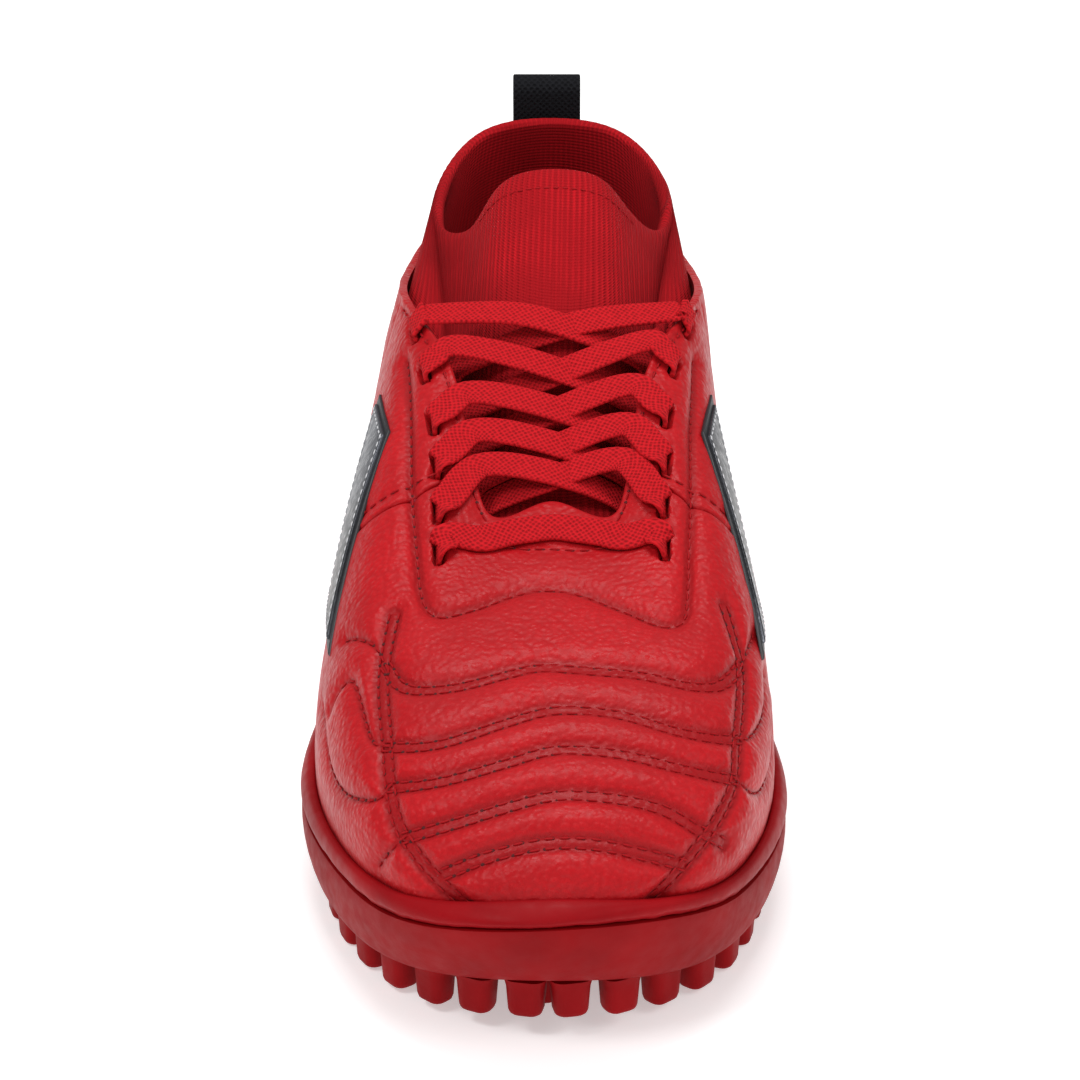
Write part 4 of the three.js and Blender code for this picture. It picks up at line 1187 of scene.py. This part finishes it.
def heel_strip():
    """Flat webbing sewn down the middle of the heel."""
    s, t = np.broadcast_arrays(rounded_steps(40, 19, 0.3)[:, None], rounded_steps(70, 40, 0.3)[None])
    h = 0.5 + 0.4 * t
    slope = upper(8.1, h)[..., 0] - upper(7.9, h)[..., 0]
    u = 8 + (s * 2 - 1) * 9.5 * 0.2 / slope  # 9.5 mm to each side
    uv = np.stack([s * 19, t * 42], -1) * MM
    return dress(ply("heel_strip_webbing", skin(u, h, 1.4), skin(u, h, 0.3), uv=uv, sharp=60), "webbing")


def pull_tab():
    """Folded webbing loop; its section lies in y, z and runs along x."""
    width, t, foot, top, r = TAB["width"], TAB["ply"], TAB["foot"], TAB["top"], TAB["gap"] / 2
    flare = foot + TAB["flare"]

    def band(half, radius):
        turn = np.linspace(math.pi, 0, 15)
        arc = np.stack([radius * np.cos(turn), top - r - t + radius * np.sin(turn)], 1)
        left = np.array(half)
        section = np.vstack([left, arc, left[::-1] * [-1, 1]])
        z = section[:, 1]
        lean = np.where(z < foot, TAB["heel"], TAB["lean"] / (top - foot))
        return np.stack([0 * z, TAB["y"] + section[:, 0] - lean * (z - foot), z], 1)[:, None]

    steps = rounded_steps(24, width, 0.35)
    across = np.stack([1 + (steps - 0.5) * width, 0 * steps, 0 * steps], 1)
    outer = band([(-t, foot - TAB["sewn"]), (-t - 0.05, foot), (-r - t, flare)], r + t) + across
    inner = band([(-0.1, foot + 2), (-0.25, foot + 3.5), (-r, flare)], r) + across
    pinch = (inner - outer) * rolled(edge_steps(24), 0.35, 0.1)[:, None]
    outer, inner = outer + pinch, inner - pinch
    uv = np.stack(np.broadcast_arrays(lengths(outer[:, 0])[:, None], steps[None] * width), -1) * MM
    return dress(ply("pull_tab_webbing", outer, inner, uv=uv, body="tab", sharp=60), "webbing")


# ---- what a user may change ----------------------------------------------------------


def tint(label, text, default):
    return FloatVectorProperty(name=label, description=text, default=default, size=3, min=0, max=1,
                               subtype="COLOR")


class TurfColours(bpy.types.PropertyGroup):
    leather: tint("Leather", "Pebbled leather of the upper", (0.46, 0.005, 0.009))
    rubber: tint("Outsole", "Moulded rubber of the outsole and studs", (0.26, 0.003, 0.005))
    band: tint("Lip band", "Moulded band round the foot of the upper", (0.28, 0.004, 0.007))
    knit: tint("Knit", "Ribbed bootie and collar", (0.44, 0.006, 0.011))
    lace: tint("Lace", "Flat woven lace", (0.49, 0.008, 0.013))
    thread: tint("Thread", "Sewing thread of the quilting", (0.4, 0.006, 0.01))
    trim: tint("Panel edge", "Dark border of the side panels", (0.012, 0.012, 0.015))
    film: tint("Panel film", "Satin film of the side panels", (0.05, 0.052, 0.06))
    webbing: tint("Webbing", "Heel strip and pull tab", (0.007, 0.007, 0.009))
    lining: tint("Lining", "Brushed lining and sockliner cloth", (0.16, 0.012, 0.02))


class TurfSizes(bpy.types.PropertyGroup):
    stitch: FloatProperty(name="Stitch length", description="Pitch of the sewn rows in millimetres",
                          default=3.2, min=1.5, max=8)
    puff: FloatProperty(name="Puff", description="How deep the seams draw the padded leather in",
                        default=1.2, min=0, max=1.5, subtype="FACTOR")
    rim: FloatProperty(name="Rim stud spacing",
                       description="Pitch of the blocks round the sole in millimetres",
                       default=11.5, min=8, max=30)
    nub: FloatProperty(name="Nub pitch", description="Grid of the round nubs under the sole in millimetres",
                       default=13.5, min=8, max=30)


WORK = {}


def quilt():
    if "quilt" not in WORK:
        WORK["quilt"] = Quilt(bpy.context.scene.turf_sizes.puff)
    return WORK["quilt"]


class MakeSole(bpy.types.Operator):
    """Outsole shell, its studs and nubs, and the lip band of the midsole"""

    bl_idname, bl_label = "turf.sole", "Sole"

    def execute(self, context):
        sizes = context.scene.turf_sizes
        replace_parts(outsole(), "outsole")
        studs(sizes.rim, sizes.nub)
        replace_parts(midsole(), "midsole")
        return {"FINISHED"}


class MakeLeather(bpy.types.Operator):
    """Quilted leather: vamp, two quarters and heel panel"""

    bl_idname, bl_label = "turf.leather", "Leather"

    def execute(self, context):
        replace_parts(vamp(quilt()), "vamp")
        lateral, medial = quarters(quilt())
        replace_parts(lateral, "lateral_quarter")
        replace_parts(medial, "medial_quarter")
        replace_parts(heel_panel(quilt()), "heel_panel")
        return {"FINISHED"}


class MakeSeams(bpy.types.Operator):
    """Sewn thread, and needle holes painted as dark dots of shade, along the quilting and edges"""

    bl_idname, bl_label = "turf.seams", "Stitches"

    def execute(self, context):
        sewn_rows(quilt(), context.scene.turf_sizes.stitch)
        return {"FINISHED"}


class MakeKnit(bpy.types.Operator):
    """Ribbed knit bootie with its tongue and collar"""

    bl_idname, bl_label = "turf.knit", "Knit bootie"

    def execute(self, context):
        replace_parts(knit_bootie(), "knit_bootie")
        rim_seam(context.scene.turf_sizes.stitch)
        return {"FINISHED"}


class MakeLace(bpy.types.Operator):
    """Flat woven lace threaded through the slits"""

    bl_idname, bl_label = "turf.lace", "Lace"

    def execute(self, context):
        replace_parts(lace(), "lace")
        return {"FINISHED"}


class MakePanels(bpy.types.Operator):
    """Plain slanted side panels with their satin film"""

    bl_idname, bl_label = "turf.panels", "Side panels"

    def execute(self, context):
        pieces = side_panels()
        for piece, node in zip(pieces, ("lateral_panel", "lateral_film", "medial_panel", "medial_film")):
            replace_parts(piece, node)
        return {"FINISHED"}


class MakeWebbing(bpy.types.Operator):
    """Heel strip and the folded pull tab on it"""

    bl_idname, bl_label = "turf.webbing", "Webbing"

    def execute(self, context):
        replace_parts(heel_strip(), "heel_strip")
        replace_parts(pull_tab(), "pull_tab")
        return {"FINISHED"}


INNER = {
    "strobel_board": "board", "sockliner": "sock", "vamp_foam": "foam", "toe_puff": "puff",
    "heel_counter": "counter", "vamp_lining": "lining", "heel_lining": "lining",
    "lateral_quarter_foam": "foam", "medial_quarter_foam": "foam",
    "lateral_eyelet_tape": "tape", "medial_eyelet_tape": "tape",
}


class FinishInner(bpy.types.Operator):
    """Finishes of the inner layers: board, sockliner, foams, stiffeners, tapes and linings"""

    bl_idname, bl_label = "turf.inner", "Inner layers"

    def execute(self, context):
        for node, look in INNER.items():
            materials = NODES[node].data.materials
            materials.clear()
            materials.append(finish(look))
        return {"FINISHED"}


VIEW = {"aim": (-0.69, 134.0, 59.0), "down": 25.5, "distance": 1.15, "lens": 166.0, "sensor": 36.0}
FLOOR = {"half": 4, "z": -2e-4, "glow": 0.4}
LAMPS = [  # name, place, aim, size, watts
    ("key", (-0.9, -0.7, 1.5), (0, -0.05, 0.05), (0.5, 0.4), 9.0),
    ("fill", (1.1, -0.6, 1.1), (0, -0.05, 0.05), (0.8, 0.6), 5),
    ("top", (0.0, 0.25, 1.5), (0, 0, 0.05), (0.8, 0.45), 11),
    ("collar", (0.0, -0.35, 1.2), (0, 0.1, 0.08), (0.3, 0.3), 1.2),
    ("front", (0.0, -1.6, 0.55), (0, -0.1, 0.04), (1.0, 0.4), 3),
]


def aimed(name, data, place, aim):
    obj = in_scene(name, data)
    obj.location = place
    obj.rotation_euler = (Vector(aim) - Vector(place)).to_track_quat("-Z", "Y").to_euler()
    return obj


class MakeStage(bpy.types.Operator):
    """Camera, pale floor and soft studio lights"""

    bl_idname, bl_label = "turf.stage", "Stage"

    def execute(self, context):
        scene = context.scene
        down = math.radians(VIEW["down"])
        aim = Vector((np.array(VIEW["aim"]) + SHIFT) * MM)
        data = bpy.data.cameras.new("camera")
        data.lens, data.sensor_width = VIEW["lens"], VIEW["sensor"]
        place = aim + Vector((0, -math.cos(down), math.sin(down))) * VIEW["distance"]
        scene.camera = aimed("camera", data, place, aim)

        mesh, half = bpy.data.meshes.new("floor"), FLOOR["half"]
        corners = [(x * half, y * half, FLOOR["z"]) for x, y in ((-1, -1), (1, -1), (1, 1), (-1, 1))]
        mesh.from_pydata(corners, [], [(0, 1, 2, 3)])
        pale = Finish("pale floor", 0.85)
        pale.colour(pale.blend(pale.ramp(pale.noise(3, 2), 0.3, 0.7), (0.86, 0.86, 0.86), (0.88, 0.88, 0.88)))
        pale.shader.inputs["Emission Color"].default_value = (1, 1, 1, 1)
        pale.shader.inputs["Emission Strength"].default_value = FLOOR["glow"]
        mesh.materials.append(pale.material)
        in_scene("floor", mesh)

        world = bpy.data.worlds.new("studio")
        world.use_nodes = True
        world.node_tree.nodes["Background"].inputs["Color"].default_value = (1, 1, 1, 1)
        world.node_tree.nodes["Background"].inputs["Strength"].default_value = 0.36
        scene.world = world
        scene.view_settings.view_transform = "Standard"
        for name, place, aim, size, watts in LAMPS:
            data = bpy.data.lights.new(name, "AREA")
            data.shape, data.size, data.size_y = "RECTANGLE", *size
            data.energy = watts
            aimed(name, data, place, aim)
        return {"FINISHED"}


STEPS = (MakeStage, MakeLace, MakeSole, MakeLeather, MakeSeams, MakeKnit, MakePanels, MakeWebbing,
         FinishInner)


class TurfPanel(bpy.types.Panel):
    bl_label, bl_idname = "Turf Boot", "VIEW3D_PT_turf_boot"
    bl_space_type, bl_region_type, bl_category = "VIEW_3D", "UI", "Turf Boot"

    def draw(self, context):
        for group in (context.scene.turf_sizes, context.scene.turf_colours):
            for key in group.__annotations__:
                self.layout.prop(group, key)
        for step_class in STEPS:
            self.layout.operator(step_class.bl_idname)


CLASSES = (TurfColours, TurfSizes, *STEPS, TurfPanel)


def register():
    for cls in CLASSES:
        bpy.utils.register_class(cls)
    bpy.types.Scene.turf_colours = PointerProperty(type=TurfColours)
    bpy.types.Scene.turf_sizes = PointerProperty(type=TurfSizes)


def unregister():
    del bpy.types.Scene.turf_sizes, bpy.types.Scene.turf_colours
    for cls in reversed(CLASSES):
        bpy.utils.unregister_class(cls)


def main():
    register()
    for step_class in STEPS:
        group, name = step_class.bl_idname.split(".")
        getattr(getattr(bpy.ops, group), name)()


if __name__ == "__main__":
    main()
